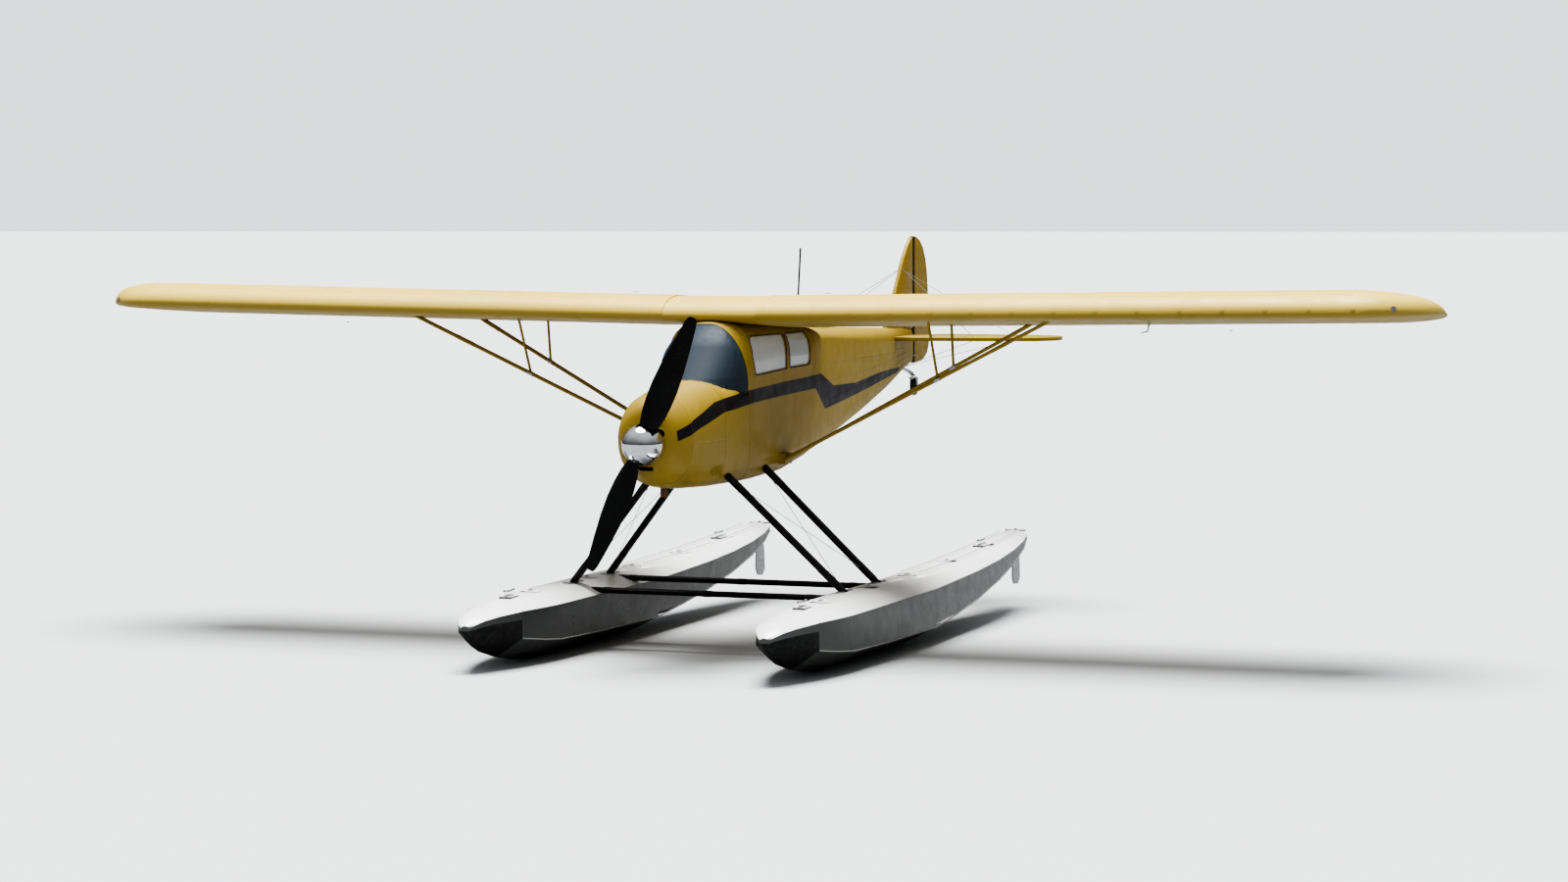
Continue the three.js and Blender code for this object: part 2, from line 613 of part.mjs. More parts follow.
// Floats: station, half width, deck, chine, keel
const FOREBODY = [
  [-1830, 34, 344, 304, 272],
  [-1800, 62, 366, 300, 242],
  [-1720, 105, 402, 284, 194],
  [-1590, 152, 432, 258, 138],
  [-1330, 222, 466, 214, 72],
  [-1050, 272, 482, 180, 24],
  [-800, 296, 490, 158, 0],
  [0, 305, 500, 142, 0],
  [FLOAT.stepY, 298, 505, 138, 0],
];
const AFTERBODY = [
  [FLOAT.stepY - 40, 290, 505, 160, 42],
  [1600, 280, 517, 184, 66],
  [2200, 266, 535, 250, 128],
  [2800, 246, 562, 340, 222],
  [3300, 216, 593, 428, 332],
  [3700, 172, 622, 512, 448],
  [FLOAT.sternY, 118, 640, 575, 540],
];
// The deck falls from its middle to rounded edges, over upright sides and a bottom in a vee
function floatRing([y, half, deck, chine, keel]) {
  const fall = FLOAT.crown + half * FLOAT.camber;
  const top = [0, 0.35, 0.6, 0.8, 0.92, 1].map((share) => (
    [half * share, deck + FLOAT.crown - fall * share ** 2.2]
  ));
  const low = Math.min(chine + 4, top[5][1] - 6);
  const bottom = [[half * 0.97, low - 4], [half * 0.5, keel + (low - keel) * 0.42], [9, keel]];
  const side = [...top, [half, low], ...bottom];
  const left = side.map(([x, z]) => [x, y, z]);
  return [...left, ...left.slice(1).map(([x, h, z]) => [-x, h, z]).reverse()];
}
const floatBlank = join(loft(FOREBODY.map(floatRing)), loft(AFTERBODY.map(floatRing)));
// The bumper covers the bow below the edge of the deck
const bumperSpace = sideProfile([
  [-1900, -100], [-1900, 300], [-1830, 310], [-1800, 322], [-1720, 336], [-1590, 345],
  [FLOAT.bumperY, 350], [FLOAT.bumperY, -100],
], -400, 400);
const bumper = floatBlank.intersect(bumperSpace);
const RUDDER_POST = { y: 4020, z0: 470, z1: 640, radius: 12 };
const sternBracket = join(
  box(-18, 18, FLOAT.sternY - 60, RUDDER_POST.y + 24, 606, 622),
  box(-18, 18, FLOAT.sternY - 60, RUDDER_POST.y + 24, 556, 572),
);
const postBore = rod([0, RUDDER_POST.y, 540], [0, RUDDER_POST.y, 660], RUDDER_POST.radius + 0.6, 16);
const CLEAT_PADS = [{ y: -1080, top: 494 }, { y: 3080, top: 592 }];
const cleatPads = CLEAT_PADS.map(({ y, top }) => box(-45, 45, y - 75, y + 75, top - 60, top));
const hull = join(
  cut(floatBlank, bumperSpace, move(bumperSpace, 0, FIT, FIT)),
  cut(sternBracket, postBore),
  ...cleatPads,
);
const waterRudder = join(
  rod([0, RUDDER_POST.y, 480], [0, RUDDER_POST.y, 650], RUDDER_POST.radius, 16),
  box(-20, 20, RUDDER_POST.y - 16, RUDDER_POST.y + 60, 470, 540),
  sideProfile([
    [RUDDER_POST.y - 70, 500], [RUDDER_POST.y - 92, 250], [RUDDER_POST.y - 50, 190],
    [RUDDER_POST.y + 60, 180], [RUDDER_POST.y + 118, 230], [RUDDER_POST.y + 100, 420],
    [RUDDER_POST.y + 50, 500],
  ], -5, 5),
  rod([-90, RUDDER_POST.y, 636], [90, RUDDER_POST.y, 636], 7, 10),
);
const hullLeft = move(hull, FLOAT.x, 0, 0);
const hullRight = move(hull, -FLOAT.x, 0, 0);

// Float struts and spreader bars
const LEG = {
  front: { foot: [1125, -34, 462], head: [240, -381, 1421] },
  rear: { foot: [1130, 679, 468], head: [300, 333, 1400] },
  chord: 105, thick: 46,
};
function legStrut(row, side) {
  const blank = strut(row.foot, row.head, LEG.chord, LEG.thick);
  return largest(cut(
    side > 0 ? blank : mirror(blank),
    move(side > 0 ? hullLeft : hullRight, 0, 0, FIT),
    move(cabinOuter, side * FIT, 0, -FIT),
    move(cabinOuter, 0, 0, 40),
  ));
}
const spreader = (y, z) => largest(cut(
  strut([-1100, y, z], [1100, y, z], 80, 46),
  join(hullLeft, move(hullLeft, -FIT, 0, 0)),
  join(hullRight, move(hullRight, FIT, 0, 0)),
  box(-1300, -FLOAT.x, -500, 1500, 300, 600),
  box(FLOAT.x, 1300, -500, 1500, 300, 600),
));

// Fin and rudder with lugs and pins between them
const finOutline = [
  [3960, 2290], [4060, 2425], [4200, 2570], [4330, 2740], [4440, 2890], [4540, 2995],
  [4620, 3052], [4682, 3080], [4682, 2290],
];
const RUDDER_LUGS = [2480, 2900];
const finLug = (z) => cut(
  box(-9, 9, 4672, TAIL.rudderY + 12, z - 6, z + 6),
  rod([0, TAIL.rudderY, z - 20], [0, TAIL.rudderY, z + 20], 5.7, 12),
);
const fin = join(
  cut(sideProfile(finOutline, -17, 17, 8), move(bodyLoft(longer(TAIL_ROWS, -100, 100)), 0, 0, FIT)),
  ...RUDDER_LUGS.map(finLug),
);
const rudderOutline = [
  [TAIL.rudderY, 3083], [4770, 3080], [4870, 3050], [4960, 2985], [5030, 2880], [5070, 2750],
  [5092, 2590], [5118, 2420], [5140, 2290], [5130, 2170], [5075, 2070], [4980, 2020],
  [4860, 2000], [TAIL.rudderY, 1995],
];
const rudderBlank = join(
  sideProfile(rudderOutline, -17, 17, 8),
  rod([0, TAIL.rudderY, 2002], [0, TAIL.rudderY, 3076], 17, 16),
);
const rudder = join(
  cut(
    rudderBlank,
    ...RUDDER_LUGS.map((z) => box(-60, 60, 4600, TAIL.rudderY + 24, z - 13, z + 13)),
  ),
  ...RUDDER_LUGS.map((z) => rod([0, TAIL.rudderY, z - 20], [0, TAIL.rudderY, z + 20], 5, 12)),
);

// Stabiliser and elevators
function flatPlan(points, z, thick, bevel) {
  const shape = new THREE.Shape(points.map(([x, y]) => new THREE.Vector2(x, y)));
  const geometry = new THREE.ExtrudeGeometry(shape, {
    depth: thick - 2 * bevel, bevelEnabled: true, bevelThickness: bevel, bevelSize: bevel,
    bevelOffset: -bevel, bevelSegments: 2, curveSegments: 6,
  });
  geometry.translate(0, 0, z - thick / 2 + bevel);
  return solid(geometry);
}
const stabFront = TAIL.hingeY - 23;
const stabOutline = [
  [20, stabFront], [20, 3950], [250, 3990], [700, 4060], [1050, 4140], [1260, 4230],
  [1350, 4330], [1386, 4440], [1388, stabFront],
];
const ELEVATOR_LUGS = [420, 1150];
const tailBlock = bodyLoft(longer(TAIL_ROWS, -100, 100));
const stabLug = (x) => cut(
  box(x - 6, x + 6, stabFront - 12, TAIL.hingeY + 12, TAIL.z - 9, TAIL.z + 9),
  rod([x - 20, ...elevatorAxis], [x + 20, ...elevatorAxis], 5.7, 12),
);
const stabiliser = join(
  largest(cut(
    flatPlan(stabOutline, TAIL.z, TAIL.thick, 8),
    move(tailBlock, FIT, 0, 0),
    box(-50, 40, 4300, 4700, 2100, 2350),
  )),
  ...ELEVATOR_LUGS.map(stabLug),
);
const elevatorOutline = [
  [92, TAIL.hingeY], [1386, TAIL.hingeY], [1360, 4660], [1280, 4745], [1120, 4815], [850, 4868],
  [520, 4890], [290, 4870], [215, 4830],
];
const elevatorHalf = cut(
  join(
    flatPlan(elevatorOutline, TAIL.z, TAIL.thick, 8),
    rod([98, ...elevatorAxis], [1378, ...elevatorAxis], 17, 16),
  ),
  ...ELEVATOR_LUGS.map((x) => box(x - 13, x + 13, 4500, TAIL.hingeY + 24, 2100, 2350)),
);
const elevatorPins = ELEVATOR_LUGS.map((x) => (
  rod([x - 20, ...elevatorAxis], [x + 20, ...elevatorAxis], 5, 12)
));
const elevatorLeft = join(elevatorHalf, ...elevatorPins);
const elevator = join(
  elevatorLeft,
  mirror(elevatorLeft),
  rod([-110, ...elevatorAxis], [110, ...elevatorAxis], 13, 16),
);

// Tailwheel under the tail post
const springPoints = [
  [4300, 1978], [4480, 1960], [4640, 1925], [4740, 1888], [4742, 1878], [4636, 1914],
  [4478, 1949], [4300, 1960],
];
const tailSpring = cut(
  sideProfile(springPoints, -20, 20),
  move(tailBlock, 0, 0, -FIT),
  rod([0, 4718, 1850], [0, 4718, 1950], 6.6, 12),
);
const FORK = { y: 4718, wheelY: 4762, z: 1786, radius: 74, width: 40 };
const fork = join(
  rod([0, FORK.y, 1868], [0, FORK.y, 1918], 6, 12),
  box(-32, 32, FORK.y - 16, FORK.wheelY + 14, 1862, 1872),
  box(24, 32, FORK.y + 20, FORK.wheelY + 14, FORK.z - 12, 1870),
  box(-32, -24, FORK.y + 20, FORK.wheelY + 14, FORK.z - 12, 1870),
  rod([-30, FORK.wheelY, FORK.z], [30, FORK.wheelY, FORK.z], 7, 12),
);
function tyre(radius, width) {
  const half = width / 2;
  const profile = [
    [8, -half * 0.7], [radius * 0.72, -half * 0.8], [radius * 0.92, -half * 0.85], [radius, -half * 0.35],
    [radius, half * 0.35], [radius * 0.92, half * 0.85], [radius * 0.72, half * 0.8], [8, half * 0.7],
    [8, -half * 0.7],
  ].map(([r, h]) => new THREE.Vector2(r, h));
  return solid(new THREE.LatheGeometry(profile, 24)).rotate([0, 0, 90]);
}
const tailWheel = move(tyre(FORK.radius, FORK.width), 0, FORK.wheelY, FORK.z);

// Scene graph
const plane = new THREE.Group();
plane.name = 'floatplane';
plane.position.set(0, SHIFT_Y, 0);

function add(name, body, paint, parent = plane) {
  const [color, roughness, metalness] = PAINT[paint];
  const material = new THREE.MeshStandardMaterial({ name: paint, color, roughness, metalness });
  if (paint === 'glass') {
    material.transparent = true;
    material.opacity = 0.35;
  }
  const mesh = new THREE.Mesh(geometryOf(body), material);
  mesh.name = name;
  parent.add(mesh);
  return mesh;
}

function addPair(name, body, paint) {
  add(`${name}_left`, body, paint);
  add(`${name}_right`, mirror(body), paint);
}

add('fuselage_cabin', cabinWithPads, 'yellow');
add('fuselage_tail', tailShell, 'yellow');
add('cowl_upper', cowlUpper, 'yellow');
add('cowl_lower', cowlLower, 'yellow');
add('nose_bowl', noseBowl, 'yellow');
add('engine_block', engine, 'steel');
add('exhaust_stack', exhaust, 'brown');
add('windscreen', windscreen, 'glass');
add('window_left_front', pane(WINDOWS.front, 1), 'glass');
add('window_left_rear', pane(WINDOWS.rear, 1), 'glass');
add('window_right_rear', pane(WINDOWS.starboard, -1), 'glass');
add('door_upper', doorUpper, 'yellow');
add('door_glass', pane(WINDOWS.door, -1), 'glass');
add('door_lower', doorLower, 'yellow');
add('skylight', skylight, 'glass');
add('instrument_panel', panel, 'panel');
add('seat_frame_front', seatFrame(FRONT_SEAT.y, FRONT_SEAT.z), 'grey');
add('seat_frame_rear', seatFrame(REAR_SEAT.y, REAR_SEAT.z), 'grey');
add('seat_cushion_front', seatPad(FRONT_SEAT.y, FRONT_SEAT.z), 'cloth');
add('seat_cushion_rear', seatPad(REAR_SEAT.y, REAR_SEAT.z), 'cloth');
add('stick_front', stick(180), 'grey');
add('stick_rear', stick(930), 'grey');
add('wing_centre', wingCentre, 'cream');
addPair('wing', wingLeft, 'cream');
addPair('flap', flapLeft, 'cream');
addPair('aileron', aileronLeft, 'cream');
addPair('lift_strut_front', liftFront, 'yellow');
addPair('lift_strut_rear', liftRear, 'yellow');
addPair('jury_strut_front', juryStrut(LIFT.front, -250), 'yellow');
addPair('jury_strut_rear', juryStrut(LIFT.rear, -60), 'yellow');
add('aerial_whip', aerialSolid, 'grey');
add('float_left', hullLeft, 'white');
add('float_right', hullRight, 'white');
add('bow_bumper_left', move(bumper, FLOAT.x, 0, 0), 'rubber');
add('bow_bumper_right', move(bumper, -FLOAT.x, 0, 0), 'rubber');
add('water_rudder_left', move(waterRudder, FLOAT.x, 0, 0), 'steel');
add('water_rudder_right', move(waterRudder, -FLOAT.x, 0, 0), 'steel');
add('float_strut_front_left', legStrut(LEG.front, 1), 'black');
add('float_strut_front_right', legStrut(LEG.front, -1), 'black');
add('float_strut_rear_left', legStrut(LEG.rear, 1), 'black');
add('float_strut_rear_right', legStrut(LEG.rear, -1), 'black');
add('spreader_front', spreader(LEG.front.foot[1], 448), 'black');
add('spreader_rear', spreader(LEG.rear.foot[1], 474), 'black');
add('fin', fin, 'yellow');
add('rudder', rudder, 'yellow');
addPair('stabiliser', stabiliser, 'yellow');
add('elevator', elevator, 'yellow');
add('tail_spring', tailSpring, 'steel');
add('tailwheel_fork', fork, 'steel');
add('tail_wheel', tailWheel, 'rubber');

// The propeller turns about the crankshaft and stands with one blade leaning to the left
const turning = new THREE.Group();
turning.name = 'propeller_group';
turning.position.set(0, HUB.y, HUB.z);
turning.rotation.y = THREE.MathUtils.degToRad(HUB.lean);
plane.add(turning);
add('propeller', propeller, 'black', turning);
add('spinner', spinner, 'chrome', turning);

export default plane;
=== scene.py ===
"""A two-seat floatplane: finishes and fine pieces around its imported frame, with a plain studio."""

import math

import bpy
from mathutils import Matrix, Vector
from mathutils.bvhtree import BVHTree


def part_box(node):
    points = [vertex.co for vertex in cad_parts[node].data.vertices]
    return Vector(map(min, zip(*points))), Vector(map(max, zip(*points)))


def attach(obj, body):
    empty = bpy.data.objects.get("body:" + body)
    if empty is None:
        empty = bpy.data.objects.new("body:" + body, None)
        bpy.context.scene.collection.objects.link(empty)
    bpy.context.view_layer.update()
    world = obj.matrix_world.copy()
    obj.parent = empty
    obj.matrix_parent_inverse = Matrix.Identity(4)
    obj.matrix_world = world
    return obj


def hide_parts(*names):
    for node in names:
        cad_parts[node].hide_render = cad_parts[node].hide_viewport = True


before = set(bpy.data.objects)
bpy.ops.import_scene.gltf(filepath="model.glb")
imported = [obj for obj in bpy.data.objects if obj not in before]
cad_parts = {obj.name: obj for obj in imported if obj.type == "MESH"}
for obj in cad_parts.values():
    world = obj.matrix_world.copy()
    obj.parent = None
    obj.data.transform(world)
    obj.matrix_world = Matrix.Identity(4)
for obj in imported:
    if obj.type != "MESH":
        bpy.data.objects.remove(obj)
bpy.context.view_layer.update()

bl_info = {
    "name": "Floatplane",
    "version": (1, 0, 0),
    "blender": (4, 5, 0),
    "location": "3D View > Sidebar > Floatplane",
    "description": "Finishes and fine pieces of a two-seat floatplane, with a plain studio",
    "category": "Object",
}

# Stations along the aeroplane are measured from the wing's leading edge
LEADING_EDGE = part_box("wing_centre")[0].y
SIDES = {"left": 1, "right": -1}
# Height or distance out of the points that small pieces are laid on a surface from
UNDER_WING = 2.4
OVER_DECK = 0.6
BESIDE_CABIN = 0.36
BESIDE_COWL = 0.30


def at(x, station, z):
    """A point of the frame from its distance out, its station behind the leading edge and its height."""
    return Vector((x, LEADING_EDGE + station, z))


# Settings a user would change
class PlaneColours(bpy.types.PropertyGroup):
    """Base colours of the finishes."""

    yellow: bpy.props.FloatVectorProperty(
        name="Yellow", description="Fabric and cowling", subtype="COLOR", size=3, min=0, max=1,
        default=(0.385, 0.266, 0.042),
    )
    # Wing is the body's yellow painted paler: painted light of the lit wing tops.
    wing: bpy.props.FloatVectorProperty(
        name="Wing", description="Fabric of the wings", subtype="COLOR", size=3, min=0, max=1,
        default=(0.80, 0.585, 0.130),
    )
    stripe: bpy.props.FloatVectorProperty(
        name="Stripe", description="Side stripe", subtype="COLOR", size=3, min=0, max=1,
        default=(0.012, 0.010, 0.014),
    )
    deck: bpy.props.FloatVectorProperty(
        name="Deck", description="Float decks", subtype="COLOR", size=3, min=0, max=1,
        default=(0.95, 0.95, 0.94),
    )
    # The float's sides and bottom are painted dark grey: painted shade of the float.
    shaded_hull: bpy.props.FloatVectorProperty(
        name="Hull", description="Float sides and bottoms", subtype="COLOR", size=3, min=0, max=1,
        default=(0.13, 0.135, 0.13),
    )
    black: bpy.props.FloatVectorProperty(
        name="Black", description="Float gear and propeller", subtype="COLOR", size=3, min=0, max=1,
        default=(0.0045, 0.0045, 0.005),
    )
    tint: bpy.props.FloatVectorProperty(
        name="Tint", description="Windscreen", subtype="COLOR", size=3, min=0, max=1,
        default=(0.045, 0.066, 0.088),
    )
    post: bpy.props.FloatVectorProperty(
        name="Post", description="Post between the side windows", subtype="COLOR", size=3, min=0, max=1,
        default=(0.30, 0.13, 0.055),
    )


class PlaneSizes(bpy.types.PropertyGroup):
    """Sizes of the fine pieces."""

    rib_spacing: bpy.props.FloatProperty(
        name="Rib spacing", description="Between the wing's ribs", default=0.312, unit="LENGTH",
    )
    tape_width: bpy.props.FloatProperty(
        name="Tape width", description="Of the tapes over the ribs", default=0.034, unit="LENGTH",
    )
    tape_lift: bpy.props.FloatProperty(
        name="Tape lift", description="How far a tape stands up", default=0.0009, unit="LENGTH",
    )


class PlaneStage(bpy.types.PropertyGroup):
    """The camera, floor and lights."""

    camera: bpy.props.FloatVectorProperty(
        name="Camera", description="Where the camera stands", subtype="XYZ", size=3, unit="LENGTH",
        default=(10.656, -28.185, 3.339),
    )
    lens: bpy.props.FloatProperty(
        name="Lens", description="Focal length in millimetres", default=88.0,
    )
    sun: bpy.props.FloatProperty(
        name="Key light", description="Strength of the key light", default=6.6,
    )
    dome: bpy.props.FloatProperty(
        name="Fill light", description="Strength of the light from all round", default=0.36,
    )


SETTINGS = {"colours": PlaneColours, "sizes": PlaneSizes, "stage": PlaneStage}


def setting(group, name):
    return getattr(getattr(bpy.context.scene, f"floatplane_{group}"), name)


def colour(name):
    return tuple(setting("colours", name))


# Finishes
RANGE_SOCKETS = ("From Min", "From Max", "To Min", "To Max")
# A Mix node's sockets for colours, which share their names with its sockets for numbers
MIX_SHARE, MIX_UNDER, MIX_OVER, MIX_COLOUR = 0, 6, 7, 2


class Finish:
    """One material: its shader, and short calls that add nodes and join them."""

    def __init__(self, name, colour, roughness=0.5, metallic=0.0, **sockets):
        self.material = bpy.data.materials.new(name)
        self.material.use_nodes = True
        self.tree = self.material.node_tree
        self.shader = self.tree.nodes["Principled BSDF"]
        self.place = self.add("ShaderNodeTexCoord").outputs["Object"]
        self.colour = self.constant(colour)
        self.shader.inputs["Roughness"].default_value = roughness
        self.shader.inputs["Metallic"].default_value = metallic
        for socket, value in sockets.items():
            self.shader.inputs[socket.replace("_", " ")].default_value = value

    def add(self, kind, **settings):
        node = self.tree.nodes.new(kind)
        for name, value in settings.items():
            setattr(node, name, value)
        return node

    def join(self, source, socket):
        if isinstance(source, bpy.types.NodeSocket):
            self.tree.links.new(source, socket)
        else:
            socket.default_value = source

    def constant(self, colour):
        node = self.add("ShaderNodeRGB")
        node.outputs[0].default_value = (*colour, 1)
        return node.outputs[0]

    def maths(self, operation, a, b=0.0):
        node = self.add("ShaderNodeMath", operation=operation)
        self.join(a, node.inputs[0])
        self.join(b, node.inputs[1])
        return node.outputs[0]

    def parts(self, vector=None):
        """X, Y and Z of the place on the object."""
        node = self.add("ShaderNodeSeparateXYZ")
        self.join(vector or self.place, node.inputs[0])
        return node.outputs[0], node.outputs[1], node.outputs[2]

    def station(self):
        return self.maths("SUBTRACT", self.parts()[1], LEADING_EDGE)

    def facing(self):
        """X, Y and Z of the outward direction of the surface."""
        return self.parts(self.add("ShaderNodeNewGeometry").outputs["Normal"])

    def noise(self, scale, detail=4.0, stretch=(1, 1, 1), roughness=0.55):
        mapping = self.add("ShaderNodeMapping")
        mapping.inputs["Scale"].default_value = stretch
        self.join(self.place, mapping.inputs["Vector"])
        node = self.add("ShaderNodeTexNoise")
        node.inputs["Scale"].default_value = scale
        node.inputs["Detail"].default_value = detail
        node.inputs["Roughness"].default_value = roughness
        self.join(mapping.outputs[0], node.inputs["Vector"])
        return node.outputs[0]

    def ramp(self, value, low, high, to_low=0.0, to_high=1.0):
        node = self.add("ShaderNodeMapRange", clamp=True)
        self.join(value, node.inputs["Value"])
        for socket, number in zip(RANGE_SOCKETS, (low, high, to_low, to_high)):
            node.inputs[socket].default_value = number
        return node.outputs[0]

    def within(self, value, low, high, soft=0.002):
        """One where a value lies between two others, nought outside."""
        rise = self.ramp(self.maths("SUBTRACT", value, low), -soft, soft)
        fall = self.ramp(self.maths("SUBTRACT", value, high), -soft, soft, 1.0, 0.0)
        return self.maths("MULTIPLY", rise, fall)

    def paint(self, other, share):
        """Lays another colour over the finish by a share of it."""
        node = self.add("ShaderNodeMix", data_type="RGBA")
        self.join(share, node.inputs[MIX_SHARE])
        self.join(self.colour, node.inputs[MIX_UNDER])
        node.inputs[MIX_OVER].default_value = (*other, 1)
        self.colour = node.outputs[MIX_COLOUR]

    def gloss(self, value):
        self.join(value, self.shader.inputs["Roughness"])

    def bump(self, height, distance, strength=1.0):
        node = self.add("ShaderNodeBump")
        node.inputs["Strength"].default_value = strength
        node.inputs["Distance"].default_value = distance
        self.join(height, node.inputs["Height"])
        before = self.shader.inputs["Normal"]
        if before.is_linked:
            self.join(before.links[0].from_socket, node.inputs["Normal"])
        self.join(node.outputs[0], before)

    def curve(self, value, table, low, high):
        """A broken line through a short table of places and heights."""
        first, last = table[0][0], table[-1][0]
        node = self.add("ShaderNodeFloatCurve")
        line = node.mapping.curves[0]
        points = [((s - first) / (last - first), (h - low) / (high - low)) for s, h in table]
        while len(line.points) < len(points):
            line.points.new(0.5, 0.5)
        for point, place in zip(line.points, points):
            point.location = place
            point.handle_type = "VECTOR"
        node.mapping.update()
        self.join(self.ramp(value, first, last), node.inputs["Value"])
        return self.ramp(node.outputs[0], 0.0, 1.0, low, high)

    def done(self):
        self.join(self.colour, self.shader.inputs["Base Color"])
        return self.material


# The side stripe's edges: station and height, nose to tail
STRIPE_UPPER = [
    (-1.166, 1.735), (-0.982, 1.799), (-0.60, 1.915), (-0.098, 1.975), (0.679, 2.009), (1.577, 2.037),
    (1.95, 1.926), (2.662, 1.917), (3.427, 1.966), (4.139, 1.984),
]
STRIPE_LOWER = [
    (-1.166, 1.662), (-0.894, 1.742), (-0.497, 1.836), (0.077, 1.882), (0.678, 1.907), (1.419, 1.928),
    (1.696, 1.754), (2.122, 1.782), (3.037, 1.853), (3.931, 1.932), (4.139, 1.950),
]
STRIPE_HEIGHTS = (1.6, 2.1)


def lay_stripe(finish):
    """The charcoal stripe along both sides, with a step down behind the cabin."""
    station = finish.station()
    height = finish.parts()[2]
    upper = finish.curve(station, STRIPE_UPPER, *STRIPE_HEIGHTS)
    lower = finish.curve(station, STRIPE_LOWER, *STRIPE_HEIGHTS)
    band = finish.within(height, lower, upper)
    ends = finish.within(station, STRIPE_UPPER[0][0], STRIPE_UPPER[-1][0])
    side = finish.ramp(finish.maths("ABSOLUTE", finish.facing()[0]), 0.2, 0.3)
    share = finish.maths("MULTIPLY", finish.maths("MULTIPLY", band, ends), side)
    finish.paint(colour("stripe"), share)


def weather(finish, shade, light, scale=1.4):
    """Slow changes of tone over a whole panel, and fine grime."""
    finish.paint(shade, finish.ramp(finish.noise(scale, 5), 0.45, 0.75, 0.0, 0.35))
    finish.paint(light, finish.ramp(finish.noise(scale * 2.3, 3), 0.55, 0.8, 0.0, 0.25))
    finish.paint(shade, finish.ramp(finish.noise(34, 6), 0.62, 0.8, 0.0, 0.22))


def darker(rgb, share):
    return tuple(c * share for c in rgb)


def fabric(name, base, stripe=False, stations=(), gap_shade=()):
    """Doped fabric: weave, faint seams at the frames, the grime of use, painted shade on the faces that look
    down, and painted shade in any hinge gaps given.
    """
    finish = Finish(name, base, 0.5, Specular_IOR_Level=0.25)
    weather(finish, darker(base, 0.72), tuple(min(1, c * 1.12) for c in base))
    # Faces that look down are painted darker, broken into streaks by noise: painted shade under the body.
    below = finish.ramp(finish.facing()[2], -0.9, -0.3, 0.5, 0.0)
    finish.paint(darker(base, 0.45), finish.maths("MULTIPLY", below, finish.noise(6, 5, (1, 0.25, 1))))
    if stripe:
        lay_stripe(finish)
    station = finish.station()
    for place in stations:
        seam = finish.within(station, place - 0.003, place + 0.003, 0.003)
        finish.paint(darker(base, 0.5), finish.maths("MULTIPLY", seam, 0.55))
    # Near-black bands at the hinge gaps: painted shade in the gaps between the surfaces.
    for first, last in gap_shade:
        finish.paint(darker(base, 0.12), finish.within(station, first, last, 0.004))
    finish.gloss(finish.ramp(finish.noise(9, 4), 0.3, 0.7, 0.34, 0.5))
    finish.bump(finish.noise(900, 2, roughness=0.7), 0.0004, 0.35)
    finish.bump(finish.noise(5, 3), 0.004, 0.3)
    return finish.done()


def enamel(name, base, stripe=False):
    """Sprayed metal panels: smoother than the fabric, and streaked by oil and air."""
    finish = Finish(name, base, 0.4, Specular_IOR_Level=0.35)
    weather(finish, darker(base, 0.75), tuple(min(1, c * 1.1) for c in base), 2.2)
    streaks = finish.noise(14, 4, (1, 0.06, 1))
    below = finish.ramp(finish.parts()[2], 1.30, 1.50, 0.4, 0.0)
    finish.paint((0.06, 0.045, 0.03), finish.maths("MULTIPLY", below, finish.ramp(streaks, 0.5, 0.72)))
    if stripe:
        lay_stripe(finish)
    finish.gloss(finish.ramp(finish.noise(12, 4), 0.3, 0.7, 0.36, 0.50))
    finish.bump(finish.noise(260, 2), 0.0003, 0.3)
    finish.bump(finish.noise(3.5, 2), 0.003, 0.25)
    return finish.done()


def wing_fabric(name, base):
    """Fabric drawn over ribs, so that it sags a little between them."""
    finish = Finish(name, base, 0.45, Specular_IOR_Level=0.3)
    weather(finish, darker(base, 0.78), tuple(min(1, c * 1.08) for c in base), 0.9)
    out = finish.maths("ABSOLUTE", finish.parts()[0])
    spacing = setting("sizes", "rib_spacing")
    wave = finish.maths("COSINE", finish.maths("MULTIPLY", out, 2 * math.pi / spacing))
    nose = finish.ramp(finish.station(), 0.1, 0.26)
    finish.bump(finish.maths("MULTIPLY", wave, nose), 0.0016, 0.8)
    # Faces that look down are painted darker: painted shade under the wings and their tapes.
    underside_shade = finish.ramp(finish.facing()[2], -0.25, 0.35, 0.75, 0.0)
    finish.paint(darker(base, 0.42), underside_shade)
    dust = finish.ramp(finish.facing()[2], 0.4, 1.0, 0.0, 0.25)
    finish.paint(darker(base, 0.6), finish.maths("MULTIPLY", dust, finish.noise(5, 6, (1, 0.2, 1))))
    finish.gloss(finish.ramp(finish.noise(7, 4), 0.3, 0.7, 0.36, 0.52))
    finish.bump(finish.noise(900, 2, roughness=0.7), 0.0004, 0.3)
    return finish.done()


def float_paint(name):
    """White decks over sides and bottoms painted dark grey as painted shade, with dull water marks low on the
    float.
    """
    shaded_hull = colour("shaded_hull")
    finish = Finish(name, shaded_hull, 0.34, Coat_Weight=0.3, Coat_Roughness=0.2)
    weather(finish, darker(shaded_hull, 0.75), tuple(min(1, c * 1.15) for c in shaded_hull), 2.0)
    height = finish.parts()[2]
    wet = finish.ramp(height, 0.10, 0.24, 1.0, 0.0)
    marks = finish.ramp(finish.noise(5, 6, (1, 0.2, 1)), 0.35, 0.7)
    finish.paint((0.17, 0.18, 0.15), finish.maths("MULTIPLY", wet, marks))
    # Faces that look up take the deck's white, the rest keeps the dark grey: painted shade on the sides and
    # bottom.
    top = finish.ramp(finish.facing()[2], 0.45, 0.6)
    finish.paint(colour("deck"), top)
    scuffs = finish.ramp(finish.noise(16, 6, (1, 0.15, 1)), 0.62, 0.85, 0.0, 0.18)
    finish.paint((0.40, 0.41, 0.40), scuffs)
    finish.gloss(finish.ramp(finish.noise(10, 4), 0.3, 0.7, 0.26, 0.44))
    finish.bump(finish.noise(4, 3), 0.004, 0.3)
    finish.bump(finish.noise(300, 2), 0.0003, 0.25)
    return finish.done()


